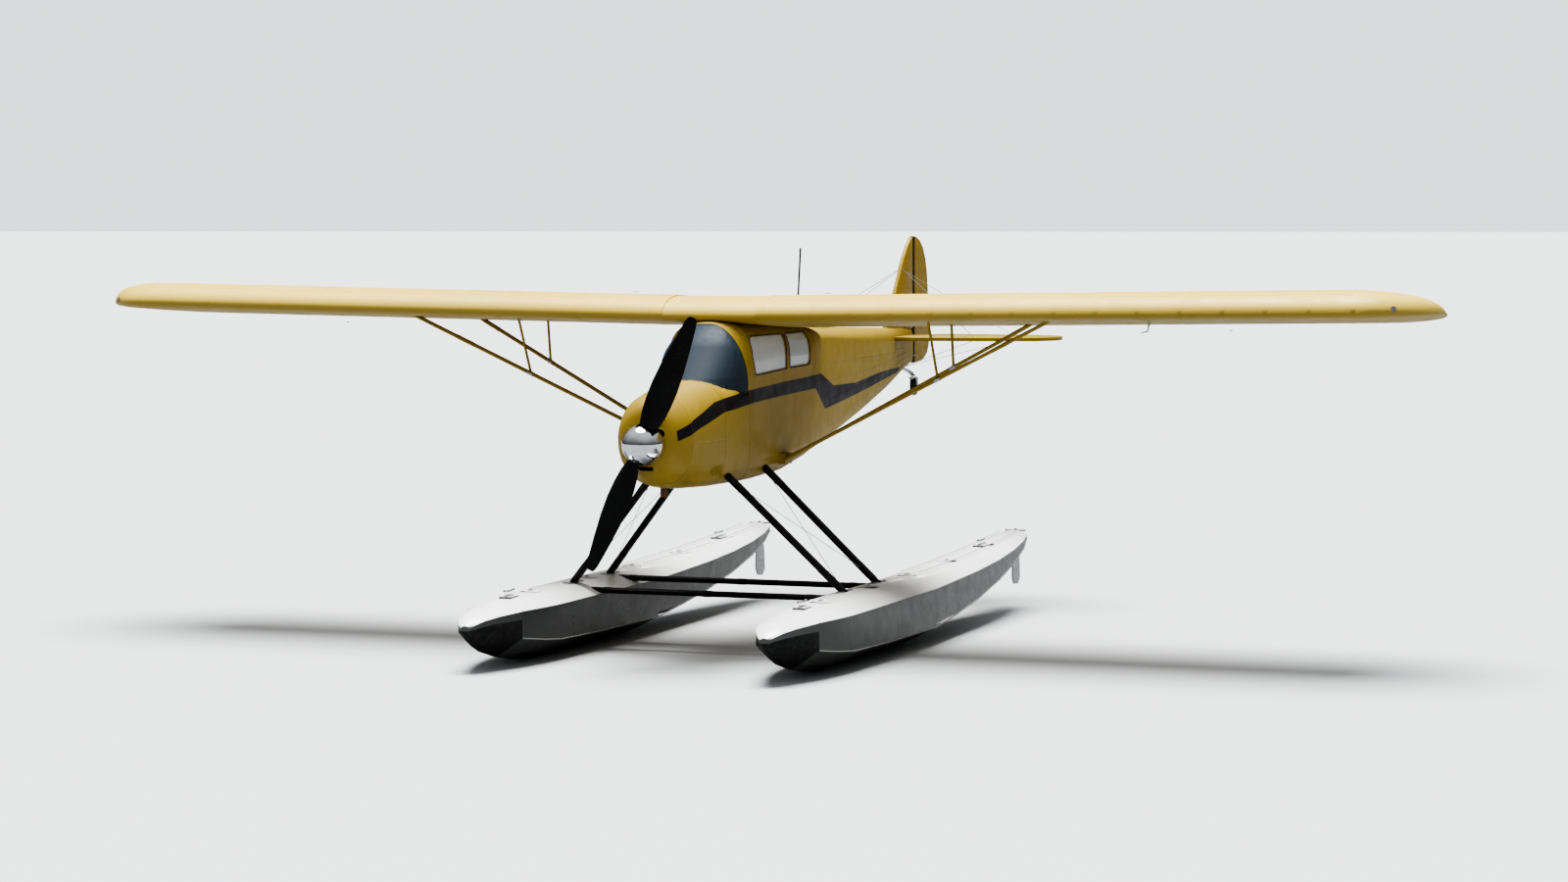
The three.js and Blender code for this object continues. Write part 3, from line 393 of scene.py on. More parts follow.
def black_enamel(name):
    base = colour("black")
    finish = Finish(name, base, 0.5, Specular_IOR_Level=0.3)
    finish.paint((0.014, 0.014, 0.015), finish.ramp(finish.noise(5, 5), 0.45, 0.75, 0.0, 0.6))
    chips = finish.ramp(finish.noise(60, 8), 0.66, 0.72, 0.0, 0.6)
    finish.paint((0.10, 0.10, 0.105), chips)
    finish.gloss(finish.ramp(finish.noise(20, 4), 0.3, 0.7, 0.36, 0.58))
    finish.bump(finish.noise(240, 3), 0.0004, 0.35)
    return finish.done()


def bare_metal(name, base, roughness, stretch=(1, 1, 1)):
    """Bare steel or alloy, rubbed along one way."""
    finish = Finish(name, base, roughness, 1.0)
    finish.paint(darker(base, 0.6), finish.ramp(finish.noise(18, 6), 0.45, 0.75, 0.0, 0.5))
    finish.gloss(finish.ramp(finish.noise(90, 5, stretch), 0.3, 0.7, roughness * 0.75, roughness * 1.4))
    finish.bump(finish.noise(160, 4, stretch), 0.0003, 0.3)
    return finish.done()


def rubber(name):
    finish = Finish(name, (0.016, 0.016, 0.017), 0.72)
    finish.paint((0.07, 0.068, 0.062), finish.ramp(finish.noise(26, 6), 0.5, 0.75, 0.0, 0.55))
    finish.gloss(finish.ramp(finish.noise(40, 4), 0.3, 0.7, 0.6, 0.85))
    finish.bump(finish.noise(320, 4), 0.0006, 0.5)
    return finish.done()


def glazing(name, base, clear, roughness, ior=1.49):
    """Acrylic sheet, tinted or pale, with faint rubbing marks."""
    finish = Finish(name, base, roughness, IOR=ior, Transmission_Weight=clear)
    rubbed = finish.ramp(finish.noise(2.2, 3, (3, 1, 0.5)), 0.45, 0.7, 0.0, 0.5)
    finish.paint(tuple(min(1, c * 1.6) for c in base), rubbed)
    finish.gloss(finish.ramp(finish.noise(30, 5), 0.4, 0.8, roughness, roughness + 0.1))
    finish.bump(finish.noise(2, 1), 0.001, 0.1)
    return finish.done()


def cloth(name, base, thread=900.0):
    """Woven cloth: two sets of threads, with lint and faded places."""
    finish = Finish(name, base, 0.9, Sheen_Weight=0.3, Sheen_Roughness=0.5)
    finish.paint(darker(base, 0.6), finish.ramp(finish.noise(9, 5), 0.4, 0.75, 0.0, 0.5))
    x, y, z = finish.parts()
    warp = finish.maths("SINE", finish.maths("MULTIPLY", finish.maths("ADD", x, z), thread))
    weft = finish.maths("SINE", finish.maths("MULTIPLY", finish.maths("SUBTRACT", y, z), thread))
    weave = finish.maths("MULTIPLY", warp, weft)
    finish.paint(darker(base, 0.45), finish.ramp(weave, -1, 1, 0.35, 0.0))
    finish.bump(weave, 0.0006, 0.6)
    finish.bump(finish.noise(70, 4), 0.001, 0.3)
    return finish.done()


def plain(name, base, roughness, scale=20.0):
    """Moulded or painted small parts, with a fine grain."""
    finish = Finish(name, base, roughness)
    finish.paint(darker(base, 0.6), finish.ramp(finish.noise(scale, 5), 0.4, 0.75, 0.0, 0.5))
    grain = finish.noise(scale * 2, 4)
    finish.gloss(finish.ramp(grain, 0.3, 0.7, roughness * 0.8, min(1, roughness * 1.25)))
    finish.bump(finish.noise(scale * 12, 3), 0.0003, 0.3)
    return finish.done()


def exhaust_metal(name):
    """Steel turned brown and grey by heat."""
    finish = Finish(name, (0.24, 0.13, 0.075), 0.55, 0.7)
    finish.paint((0.10, 0.085, 0.09), finish.ramp(finish.noise(20, 6), 0.4, 0.7, 0.0, 0.8))
    finish.paint((0.34, 0.17, 0.06), finish.ramp(finish.noise(55, 5), 0.55, 0.75, 0.0, 0.7))
    finish.bump(finish.noise(120, 5), 0.0006, 0.5)
    return finish.done()


FUSELAGE_SEAMS = (-0.01, 0.42, 0.69, 1.54, 2.66, 3.43, 4.24)
# Stations of the tailplane's and rudder's hinge gaps, where painted shade darkens the fabric
TAILPLANE_HINGE = (4.552, 4.584)
RUDDER_HINGE = (4.668, 4.728)
MATERIALS = {
    "fabric": lambda: fabric("yellow_fabric", colour("yellow"), True, FUSELAGE_SEAMS),
    "tail_fabric": lambda: fabric("tail_fabric", colour("yellow"), gap_shade=(TAILPLANE_HINGE,)),
    "fin_fabric": lambda: fabric("fin_fabric", colour("yellow"), gap_shade=(RUDDER_HINGE,)),
    "cowl": lambda: enamel("yellow_enamel", colour("yellow"), True),
    "strut": lambda: enamel("strut_enamel", colour("yellow")),
    "wing": lambda: wing_fabric("wing_fabric", colour("wing")),
    "tape": lambda: wing_fabric("wing_tape", colour("wing")),
    "float": lambda: float_paint("float_paint"),
    "black": lambda: black_enamel("black_enamel"),
    "rubber": lambda: rubber("black_rubber"),
    "chrome": lambda: bare_metal("polished_alloy", (0.86, 0.87, 0.89), 0.07),
    "steel": lambda: bare_metal("brushed_steel", (0.52, 0.53, 0.55), 0.34, (1, 0.1, 1)),
    "exhaust": lambda: exhaust_metal("hot_steel"),
    "screen": lambda: glazing("tinted_acrylic", colour("tint"), 0.20, 0.42, 1.22),
    # The side panes, door glass and skylight are painted near white: painted reflection of the bright sky.
    "pane": lambda: glazing("clear_acrylic", (0.80, 0.85, 0.93), 0.22, 0.12),
    "cloth": lambda: cloth("seat_cloth", (0.16, 0.11, 0.07)),
    "panel": lambda: plain("panel_black", (0.02, 0.02, 0.022), 0.5),
    "grey": lambda: plain("grey_enamel", (0.16, 0.17, 0.18), 0.4, scale=14.0),
    "post": lambda: plain("post_brown", colour("post"), 0.5, scale=30.0),
    "deck": lambda: plain("white_enamel", (0.80, 0.80, 0.79), 0.4),
    "webbing": lambda: cloth("belt_webbing", (0.03, 0.032, 0.036), 1600.0),
    "red_lens": lambda: glazing("red_lens", (0.65, 0.03, 0.02), 0.4, 0.08),
    "green_lens": lambda: glazing("green_lens", (0.02, 0.45, 0.12), 0.4, 0.08),
}
made_materials = {}


def material(key):
    if key not in made_materials:
        made_materials[key] = MATERIALS[key]()
    return made_materials[key]


# Modelling calls
def deselect():
    bpy.ops.object.select_all(action="DESELECT")


def activate(obj):
    deselect()
    obj.select_set(True)
    bpy.context.view_layer.objects.active = obj
    return obj


class editing:
    """Edit mode with everything of one object selected."""

    def __init__(self, obj):
        self.obj = obj

    def __enter__(self):
        activate(self.obj)
        bpy.ops.object.mode_set(mode="EDIT")
        bpy.ops.mesh.select_all(action="SELECT")
        return self.obj

    def __exit__(self, *_):
        bpy.ops.object.mode_set(mode="OBJECT")


def modify(obj, kind, **settings):
    """Adds a modifier and applies it."""
    activate(obj)
    bpy.ops.object.modifier_add(type=kind)
    modifier = obj.modifiers[-1]
    for name, value in settings.items():
        setattr(modifier, name, value)
    bpy.ops.object.modifier_apply(modifier=modifier.name)
    return obj


def settle(obj):
    """Puts an object's place and turn into its mesh."""
    activate(obj)
    bpy.ops.object.transform_apply(location=True, rotation=True, scale=True)
    return obj


def stand(obj, place, along=(0, 0, 1)):
    """Turns a piece's upright to a direction and moves it to its place."""
    obj.rotation_mode = "QUATERNION"
    obj.rotation_quaternion = Vector(along).to_track_quat("Z", "Y")
    obj.location = place
    return settle(obj)


def merge(objects):
    activate(objects[0])
    for obj in objects:
        obj.select_set(True)
    if len(objects) > 1:
        bpy.ops.object.join()
    return bpy.context.view_layer.objects.active


def finish_piece(obj, name, body, key, angle=35.0, tidy=True):
    """Names a finished piece, turns its faces outwards, and gives it its material and body."""
    if tidy:
        with editing(obj):
            bpy.ops.mesh.remove_doubles(threshold=0.00002)
            bpy.ops.mesh.normals_make_consistent(inside=False)
    activate(obj)
    bpy.ops.object.shade_smooth_by_angle(angle=math.radians(angle))
    obj.name = name
    obj.data.name = name
    obj.data.materials.clear()
    obj.data.materials.append(material(key))
    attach(obj, body)
    return obj


def turned(profile, place=(0, 0, 0), along=(0, 0, 1), sides=20):
    """A round piece: a circle drawn up ring by ring through a table of radius and height."""
    deselect()
    radius, height = profile[0]
    bpy.ops.mesh.primitive_circle_add(vertices=sides, radius=radius, location=(0, 0, height))
    obj = settle(bpy.context.object)
    with editing(obj):
        for (r0, h0), (r1, h1) in zip(profile, profile[1:]):
            bpy.ops.mesh.extrude_region_move(TRANSFORM_OT_translate={"value": (0, 0, h1 - h0)})
            share = r1 / r0
            bpy.ops.transform.resize(value=(share, share, 1), center_override=(0, 0, h1))
        bpy.ops.mesh.select_all(action="SELECT")
        bpy.ops.mesh.fill_holes(sides=sides)
    return stand(obj, place, along)


def block(size, place=(0, 0, 0), bevel=0.001, along=(0, 0, 1)):
    """A block with its edges rounded over."""
    deselect()
    bpy.ops.mesh.primitive_cube_add(size=1)
    obj = bpy.context.object
    obj.scale = size
    settle(obj)
    with editing(obj):
        bpy.ops.mesh.bevel(offset=min(bevel, 0.45 * min(size)), segments=2, affect="EDGES")
    return stand(obj, place, along)


def drawn(points, radius, closed=False, sides=2):
    """A round rod or bead along a line of points."""
    line = bpy.data.curves.new("line", "CURVE")
    line.dimensions = "3D"
    spline = line.splines.new("POLY")
    spline.points.add(len(points) - 1)
    for point, place in zip(spline.points, points):
        point.co = (*place, 1)
    spline.use_cyclic_u = closed
    line.bevel_depth = radius
    line.bevel_resolution = sides
    line.use_fill_caps = not closed
    obj = bpy.data.objects.new("line", line)
    bpy.context.scene.collection.objects.link(obj)
    activate(obj)
    bpy.ops.object.convert(target="MESH")
    return bpy.context.object


def sheet_metal(outline, thickness, place, bevel=0.0006):
    """A level plate cut to an outline and moved to its place."""
    line = bpy.data.curves.new("plate", "CURVE")
    line.dimensions = "2D"
    line.fill_mode = "BOTH"
    spline = line.splines.new("POLY")
    spline.points.add(len(outline) - 1)
    for point, (x, y) in zip(spline.points, outline):
        point.co = (x, y, 0, 1)
    spline.use_cyclic_u = True
    line.extrude = thickness / 2 - bevel
    line.bevel_depth = bevel
    line.offset = -bevel
    obj = bpy.data.objects.new("plate", line)
    bpy.context.scene.collection.objects.link(obj)
    activate(obj)
    bpy.ops.object.convert(target="MESH")
    return stand(bpy.context.object, place)


def repeat(obj, matrices):
    """Copies of one small piece, as one mesh."""
    corners = [v.co.copy() for v in obj.data.vertices]
    faces = [tuple(p.vertices) for p in obj.data.polygons]
    points, loops = [], []
    for matrix in matrices:
        start = len(points)
        points += [matrix @ corner for corner in corners]
        loops += [tuple(i + start for i in face) for face in faces]
    mesh = bpy.data.meshes.new("copies")
    mesh.from_pydata(points, [], loops)
    copies = bpy.data.objects.new("copies", mesh)
    bpy.context.scene.collection.objects.link(copies)
    bpy.data.objects.remove(obj)
    return copies


def facing(place, normal):
    """Where and how a small piece stands on a surface."""
    turn = Vector(normal).to_track_quat("Z", "Y").to_matrix().to_4x4()
    return Matrix.Translation(place) @ turn


def copy_of(node):
    """A copy of a CAD node's mesh with its loose triangles merged."""
    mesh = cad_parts[node].data.copy()
    obj = bpy.data.objects.new(node + "_copy", mesh)
    bpy.context.scene.collection.objects.link(obj)
    with editing(obj):
        bpy.ops.mesh.remove_doubles(threshold=0.00001)
        bpy.ops.mesh.dissolve_limited(angle_limit=math.radians(0.3))
    return obj


def dress(node, body, slot, key, angle, bevel=0.0):
    """The finished form of a CAD node: merged, its edges rounded over and its faces smooth."""
    obj = copy_of(node)
    if bevel:
        modify(
            obj, "BEVEL", width=bevel, segments=2, limit_method="ANGLE",
            angle_limit=math.radians(angle + 8), use_clamp_overlap=True,
        )
    finish_piece(obj, node + "_finished", body, key, angle, tidy=False)
    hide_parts(node)
    return obj


def surface_of(*nodes):
    """A tree of the nodes' faces, for placing pieces on them."""
    points, faces = [], []
    for node in nodes:
        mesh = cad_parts[node].data
        start = len(points)
        points += [v.co.copy() for v in mesh.vertices]
        faces += [tuple(i + start for i in p.vertices) for p in mesh.polygons]
    return BVHTree.FromPolygons(points, faces)


def meets(tree, origin, direction):
    """Where a line first meets a surface, and which way the surface faces."""
    place, normal, _, _ = tree.ray_cast(Vector(origin), Vector(direction).normalized())
    if place is None:
        raise RuntimeError(f"nothing lies along the line from {tuple(origin)}")
    return place, normal


def band(node, axis, middle, width, lift, keep=None):
    """A thin tape round a node, cut from a copy of its surface and raised."""
    obj = copy_of(node)
    normal = Vector((axis == "X", axis == "Y", axis == "Z"))
    with editing(obj):
        for sign in (-1, 1):
            bpy.ops.mesh.select_all(action="SELECT")
            bpy.ops.mesh.bisect(
                plane_co=normal * (middle + sign * width / 2), plane_no=normal * sign, clear_outer=True,
            )
    if keep:
        for face in obj.data.polygons:
            face.select = not keep(face.center, face.normal)
        activate(obj)
        bpy.ops.object.mode_set(mode="EDIT")
        bpy.ops.mesh.select_mode(type="FACE")
        bpy.ops.mesh.delete(type="FACE")
        bpy.ops.object.mode_set(mode="OBJECT")
    return modify(obj, "SOLIDIFY", thickness=lift * 2, offset=0.0)


# Small parts that are modelled once and copied
WIRE_RADIUS = 0.0024


def bolt(radius=0.005):
    """A hexagonal bolt head on its washer."""
    washer = turned([(radius * 1.4, 0), (radius * 1.4, radius * 0.2)], sides=14)
    head = turned([(radius, radius * 0.2), (radius, radius * 0.8), (radius * 0.8, radius)], sides=6)
    return merge([washer, head])


def rivet(radius=0.0028):
    """A domed rivet head."""
    return turned([(radius, 0), (radius * 0.9, radius * 0.35), (radius * 0.5, radius * 0.6)], sides=7)


def screw(radius=0.004):
    """A screw head with a worn rim and a hollow in its middle."""
    rim = [(radius, 0), (radius, 0.0008), (radius * 0.8, 0.0014)]
    return turned([*rim, (radius * 0.35, 0.0012), (radius * 0.2, 0.0004)], sides=10)


def copies(piece, places, name, body, slot, key):
    """Copies of a small part, each at a point of a surface and upright on it."""
    return finish_piece(repeat(piece, [facing(*place) for place in places]), name, body, key)


def steps(first, last, count):
    """Evenly spaced numbers."""
    return [first + (last - first) * i / (count - 1) for i in range(count)]


def between(table, station):
    """A row of a table at a station between its own, without the station."""
    for (a, *low), (b, *high) in zip(table, table[1:]):
        if station <= b:
            share = (station - a) / (b - a)
            return [p + (q - p) * share for p, q in zip(low, high)]
    return table[-1][1:]


def strap(points, across, width, thickness):
    """A flat strap laid along a line of points."""
    deselect()
    last = len(points) - 1
    bpy.ops.mesh.primitive_grid_add(x_subdivisions=last, y_subdivisions=1, size=1)
    obj = bpy.context.object
    for vertex in obj.data.vertices:
        side = 1 if vertex.co.y > 0 else -1
        vertex.co = points[round((vertex.co.x + 0.5) * last)] + Vector(across) * side * width / 2
    return modify(obj, "SOLIDIFY", thickness=thickness, offset=1.0)


def lofted(rows, thickness):
    """A sheet through rows of points, thickened outwards."""
    deselect()
    along, across = len(rows) - 1, len(rows[0]) - 1
    bpy.ops.mesh.primitive_grid_add(x_subdivisions=along, y_subdivisions=across, size=1)
    obj = bpy.context.object
    for vertex in obj.data.vertices:
        vertex.co = rows[round((vertex.co.x + 0.5) * along)][round((vertex.co.y + 0.5) * across)]
    return modify(obj, "SOLIDIFY", thickness=thickness, offset=1.0)


def wire(start, end):
    """A taut brace wire with an eye at each end and a turnbuckle near its start."""
    start, end = Vector(start), Vector(end)
    along = (end - start).normalized()
    barrel = [(0.004, 0), (0.0075, 0.012), (0.0075, 0.075), (0.004, 0.088)]
    eye = [(0.006, 0), (0.008, 0.004), (0.008, 0.024), (0.0035, 0.034)]
    return merge([
        drawn([start, end], WIRE_RADIUS, sides=1),
        turned(barrel, start + along * 0.10, along, 10),
        turned(eye, start, along, 10),
        turned(eye, end, -along, 10),
    ])


def wires(name, body, ends):
    """Brace wires between pairs of points."""
    return finish_piece(merge([wire(a, b) for a, b in ends]), name, body, "steel")


def bead(name, body, key, points, radius, closed=True):
    """A round moulding along a line of points."""
    return finish_piece(drawn(points, radius, closed, 1), name, body, key)


def tapes(name, body, key, bands):
    """Bands of tape or metal strip, as one piece."""
    return finish_piece(merge(bands), name, body, key, 52, tidy=False)


def seen_from(tree, point, direction):
    """Where a surface is met by a line through a point, from one metre out."""
    direction = Vector(direction).normalized()
    return meets(tree, Vector(point) - direction, direction)


# Operators
class PieceOperator:
    """What every operator of the add-on shares."""

    bl_options = {"REGISTER", "UNDO"}

    def execute(self, context):
        self.build()
        return {"FINISHED"}


# Node, body, slot, finish and smooth angle, and the edge radius of a piece that is rounded over
DRESSED = [
    ("fuselage_cabin", "airframe", "yellow", "fabric", 28),
    ("fuselage_tail", "airframe", "yellow", "fabric", 24),
    ("cowl_upper", "airframe", "yellow", "cowl", 30),
    ("cowl_lower", "airframe", "yellow", "cowl", 30),
    ("nose_bowl", "airframe", "yellow", "cowl", 34),
    ("exhaust_stack", "airframe", "brown", "exhaust", 40),
    ("windscreen", "airframe", "glass", "screen", 40),
    ("window_left_front", "airframe", "glass", "pane", 30),
    ("window_left_rear", "airframe", "glass", "pane", 30),
    ("window_right_rear", "airframe", "glass", "pane", 30),
    ("skylight", "airframe", "glass", "pane", 30),
    ("door_upper", "door_upper", "yellow", "fabric", 30),
    ("door_glass", "door_upper", "glass", "pane", 30),
    ("door_lower", "door_lower", "yellow", "fabric", 30),
    ("wing_centre", "airframe", "cream", "wing", 52),
    ("wing_left", "airframe", "cream", "wing", 52),
    ("wing_right", "airframe", "cream", "wing", 52),
    ("flap_left", "flap_left", "cream", "wing", 32),
    ("flap_right", "flap_right", "cream", "wing", 32),
    ("aileron_left", "aileron_left", "cream", "wing", 32),
    ("aileron_right", "aileron_right", "cream", "wing", 32),
    ("float_left", "airframe", "white", "float", 24),
    ("float_right", "airframe", "white", "float", 24),
    ("bow_bumper_left", "airframe", "rubber", "rubber", 40, 0.004),
    ("bow_bumper_right", "airframe", "rubber", "rubber", 40, 0.004),
    ("fin", "airframe", "yellow", "fin_fabric", 50),
    ("rudder", "rudder", "yellow", "fin_fabric", 50),
    ("elevator", "elevator", "yellow", "tail_fabric", 50),
    ("stabiliser_left", "airframe", "yellow", "tail_fabric", 50),
    ("stabiliser_right", "airframe", "yellow", "tail_fabric", 50),
    ("propeller", "propeller", "black", "black", 50),
    ("spinner", "propeller", "chrome", "chrome", 40),
    ("tail_wheel", "tail_wheel", "rubber", "rubber", 40),
    ("aerial_whip", "airframe", "grey", "black", 40),
    ("spreader_front", "airframe", "black", "black", 50),
    ("spreader_rear", "airframe", "black", "black", 50),
]
PAIRED_STRUTS = {
    "lift_strut_front": ("yellow", "strut"), "lift_strut_rear": ("yellow", "strut"),
    "jury_strut_front": ("yellow", "strut"), "jury_strut_rear": ("yellow", "strut"),
    "float_strut_front": ("black", "black"), "float_strut_rear": ("black", "black"),
}
# CAD nodes that keep their own mesh
KEPT = {
    "engine_block": "steel", "instrument_panel": "panel", "seat_frame_front": "grey",
    "seat_frame_rear": "grey", "stick_front": "grey", "stick_rear": "grey", "tail_spring": "steel",
    "tailwheel_fork": "steel", "water_rudder_left": "steel", "water_rudder_right": "steel",
    "seat_cushion_front": "cloth", "seat_cushion_rear": "cloth",
}


class FLOATPLANE_OT_finish_nodes(PieceOperator, bpy.types.Operator):
    """Smooth, finished forms of the frame's pieces"""

    bl_idname = "floatplane.finish_nodes"
    bl_label = "Finish the airframe"

    def build(self):
        for row in DRESSED:
            dress(*row)
        for name, (slot, key) in PAIRED_STRUTS.items():
            for side in SIDES:
                dress(f"{name}_{side}", "airframe", slot, key, 50)
        for node, key in KEPT.items():
            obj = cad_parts[node]
            obj.data.materials.clear()
            obj.data.materials.append(material(key))


# Where the wing's ribs, fittings and openings are: distances out and stations
WING_ROOT = 0.375
FLAP_SPAN = (0.47, 2.50)
AILERON_SPAN = (2.64, 4.70)
WING_HINGE = 1.24
FUEL_CAP = (0.78, 0.46)
WING_PLATES = [(0.62, 0.62), (1.30, 0.62), (2.42, 0.40), (2.42, 0.95), (3.67, 0.90), (4.40, 0.62)]


def rib_stations():
    """Distances out of the wing's ribs."""
    spacing = setting("sizes", "rib_spacing")
    return [WING_ROOT + 0.12 + spacing * i for i in range(15)]


class FLOATPLANE_OT_wing_tapes(PieceOperator, bpy.types.Operator):
    """Tapes over the ribs and along the leading edge of the wings, flaps and ailerons"""

    bl_idname = "floatplane.wing_tapes"
    bl_label = "Tape the wings"

    def build(self):
        width, lift = setting("sizes", "tape_width"), setting("sizes", "tape_lift")
        for side, sign in SIDES.items():
            ribs = rib_stations()
            wing = f"wing_{side}"
            on_wing = [band(wing, "X", sign * x, width, lift, self.outside_cove) for x in ribs]
            on_wing.append(band(wing, "X", sign * (WING_ROOT + 0.03), 0.055, lift * 1.6, self.outside_cove))
            for station, wide in ((0.15, 0.03), (0.60, 0.02)):
                on_wing.append(band(wing, "Y", LEADING_EDGE + station, wide, lift))
            tapes(f"wing_tapes_{side}", "airframe", "tape", on_wing)
            for name, (inner, outer) in (("flap", FLAP_SPAN), ("aileron", AILERON_SPAN)):
                node = f"{name}_{side}"
                here = [x for x in ribs if inner + 0.05 < x < outer - 0.05]
                moving = [band(node, "X", sign * x, width, lift, self.behind_hinge) for x in here]
                tapes(f"{name}_tapes_{side}", node, "tape", moving)

    def outside_cove(self, centre, normal):
        return centre.y - LEADING_EDGE < WING_HINGE - 0.07 or abs(normal.z) > 0.9

    def behind_hinge(self, centre, normal):
        return centre.y - LEADING_EDGE > WING_HINGE + 0.02


class FLOATPLANE_OT_wing_fittings(PieceOperator, bpy.types.Operator):
    """Fuel caps, inspection plates, drain holes, lights, horns and the pitot tube"""

    bl_idname = "floatplane.wing_fittings"
    bl_label = "Fit the wings"

    def build(self):
        for side, sign in SIDES.items():
            skin = surface_of(f"wing_{side}")
            self.fuel_cap(side, sign, skin)
            self.plates(side, sign, skin)
            self.tip_light(side, sign, skin)
            self.horn(side, sign)
        self.pitot()

    def fuel_cap(self, side, sign, skin):
        x, station = FUEL_CAP
        place, normal = seen_from(skin, at(sign * x, station, 2.6), (0, 0, -1))
        rim = turned([(0.060, 0), (0.060, 0.002), (0.052, 0.003), (0.046, 0.003)], place, normal, 28)
        lid = [(0.040, 0.001), (0.040, 0.010), (0.034, 0.013), (0.012, 0.013), (0.010, 0.016)]
        cap = turned(lid, place, normal, 24)
        lever = block((0.050, 0.010, 0.004), place + normal * 0.018, 0.0015, normal)
        finish_piece(merge([rim, cap, lever]), f"fuel_cap_{side}", "airframe", "steel")

    def plates(self, side, sign, skin):
        cover = turned([(0.056, 0), (0.056, 0.0012), (0.050, 0.0018), (0.010, 0.0030)], sides=26)
        places = [seen_from(skin, at(sign * x, s, UNDER_WING), (0, 0, 1)) for x, s in WING_PLATES]
        copies(cover, places, f"inspection_plates_{side}", "airframe", "cream", "tape")
        grommet = turned([(0.010, 0), (0.010, 0.0016), (0.006, 0.0022), (0.004, 0.0006)], sides=10)
        middles = [x + setting("sizes", "rib_spacing") / 2 for x in rib_stations()[:-1]]
        drains = [seen_from(skin, at(sign * x, 1.12, UNDER_WING), (0, 0, 1)) for x in middles]
        copies(grommet, drains, f"drain_grommets_{side}", "airframe", "steel", "steel")

    def tip_light(self, side, sign, skin):
        place, normal = seen_from(skin, at(sign * 5.12, 0.30, 2.61), (0, 1, 0))
        base = turned([(0.026, 0), (0.026, 0.006), (0.022, 0.009)], place - normal * 0.004, normal)
        finish_piece(base, f"tip_light_base_{side}", "airframe", "steel")
        lens = [(0.020, 0), (0.020, 0.012), (0.017, 0.022), (0.010, 0.029), (0.003, 0.031)]
        glass = turned(lens, place + normal * 0.004, normal)
        tint = {"left": "red_lens", "right": "green_lens"}[side]
        finish_piece(glass, f"tip_light_{side}", "airframe", tint)

    def horn(self, side, sign):
        """A level plate under the aileron for its cables, with a foot and a pin."""
        skin = surface_of(f"aileron_{side}")
        place, normal = seen_from(skin, at(sign * 3.67, WING_HINGE + 0.05, UNDER_WING), (0, 0, 1))
        outline = [(-0.030, 0.004), (0.030, 0.004), (0.012, -0.062), (-0.004, -0.062)]
        plate = sheet_metal(outline, 0.004, place)
        foot = block((0.022, 0.070, 0.004), place + normal * 0.001, 0.001, normal)
        pin = drawn([place + Vector((x, 0.004, -0.052)) for x in (-0.010, 0.010)], 0.0035)
        finish_piece(merge([plate, foot, pin]), f"aileron_horn_{side}", f"aileron_{side}", "steel")

    def pitot(self):
        skin = surface_of("wing_left")
        place, normal = seen_from(skin, at(3.30, 0.32, UNDER_WING), (0, 0, 1))
        foot = turned([(0.030, 0), (0.030, 0.002), (0.024, 0.003)], place, normal)
        tip = place + Vector((0, -0.17, -0.075))
        bend = place + Vector((0, -0.03, -0.075))
        tube = drawn([place, place + Vector((0, 0, -0.06)), bend, tip], 0.0050, sides=2)
        brace = drawn([place + Vector((0, 0.05, 0)), place + Vector((0, 0, -0.06))], 0.003)
        finish_piece(merge([foot, tube, brace]), "pitot_tube", "airframe", "steel")


LIFT_STRUTS = ("lift_strut_front", "lift_strut_rear")
# Distances out of the jury struts' clamps and of the lift struts' cuffs, with each cuff's width
JURY_OUT = 1.655
CUFFS = ((0.425, 0.10), (2.17, 0.14))


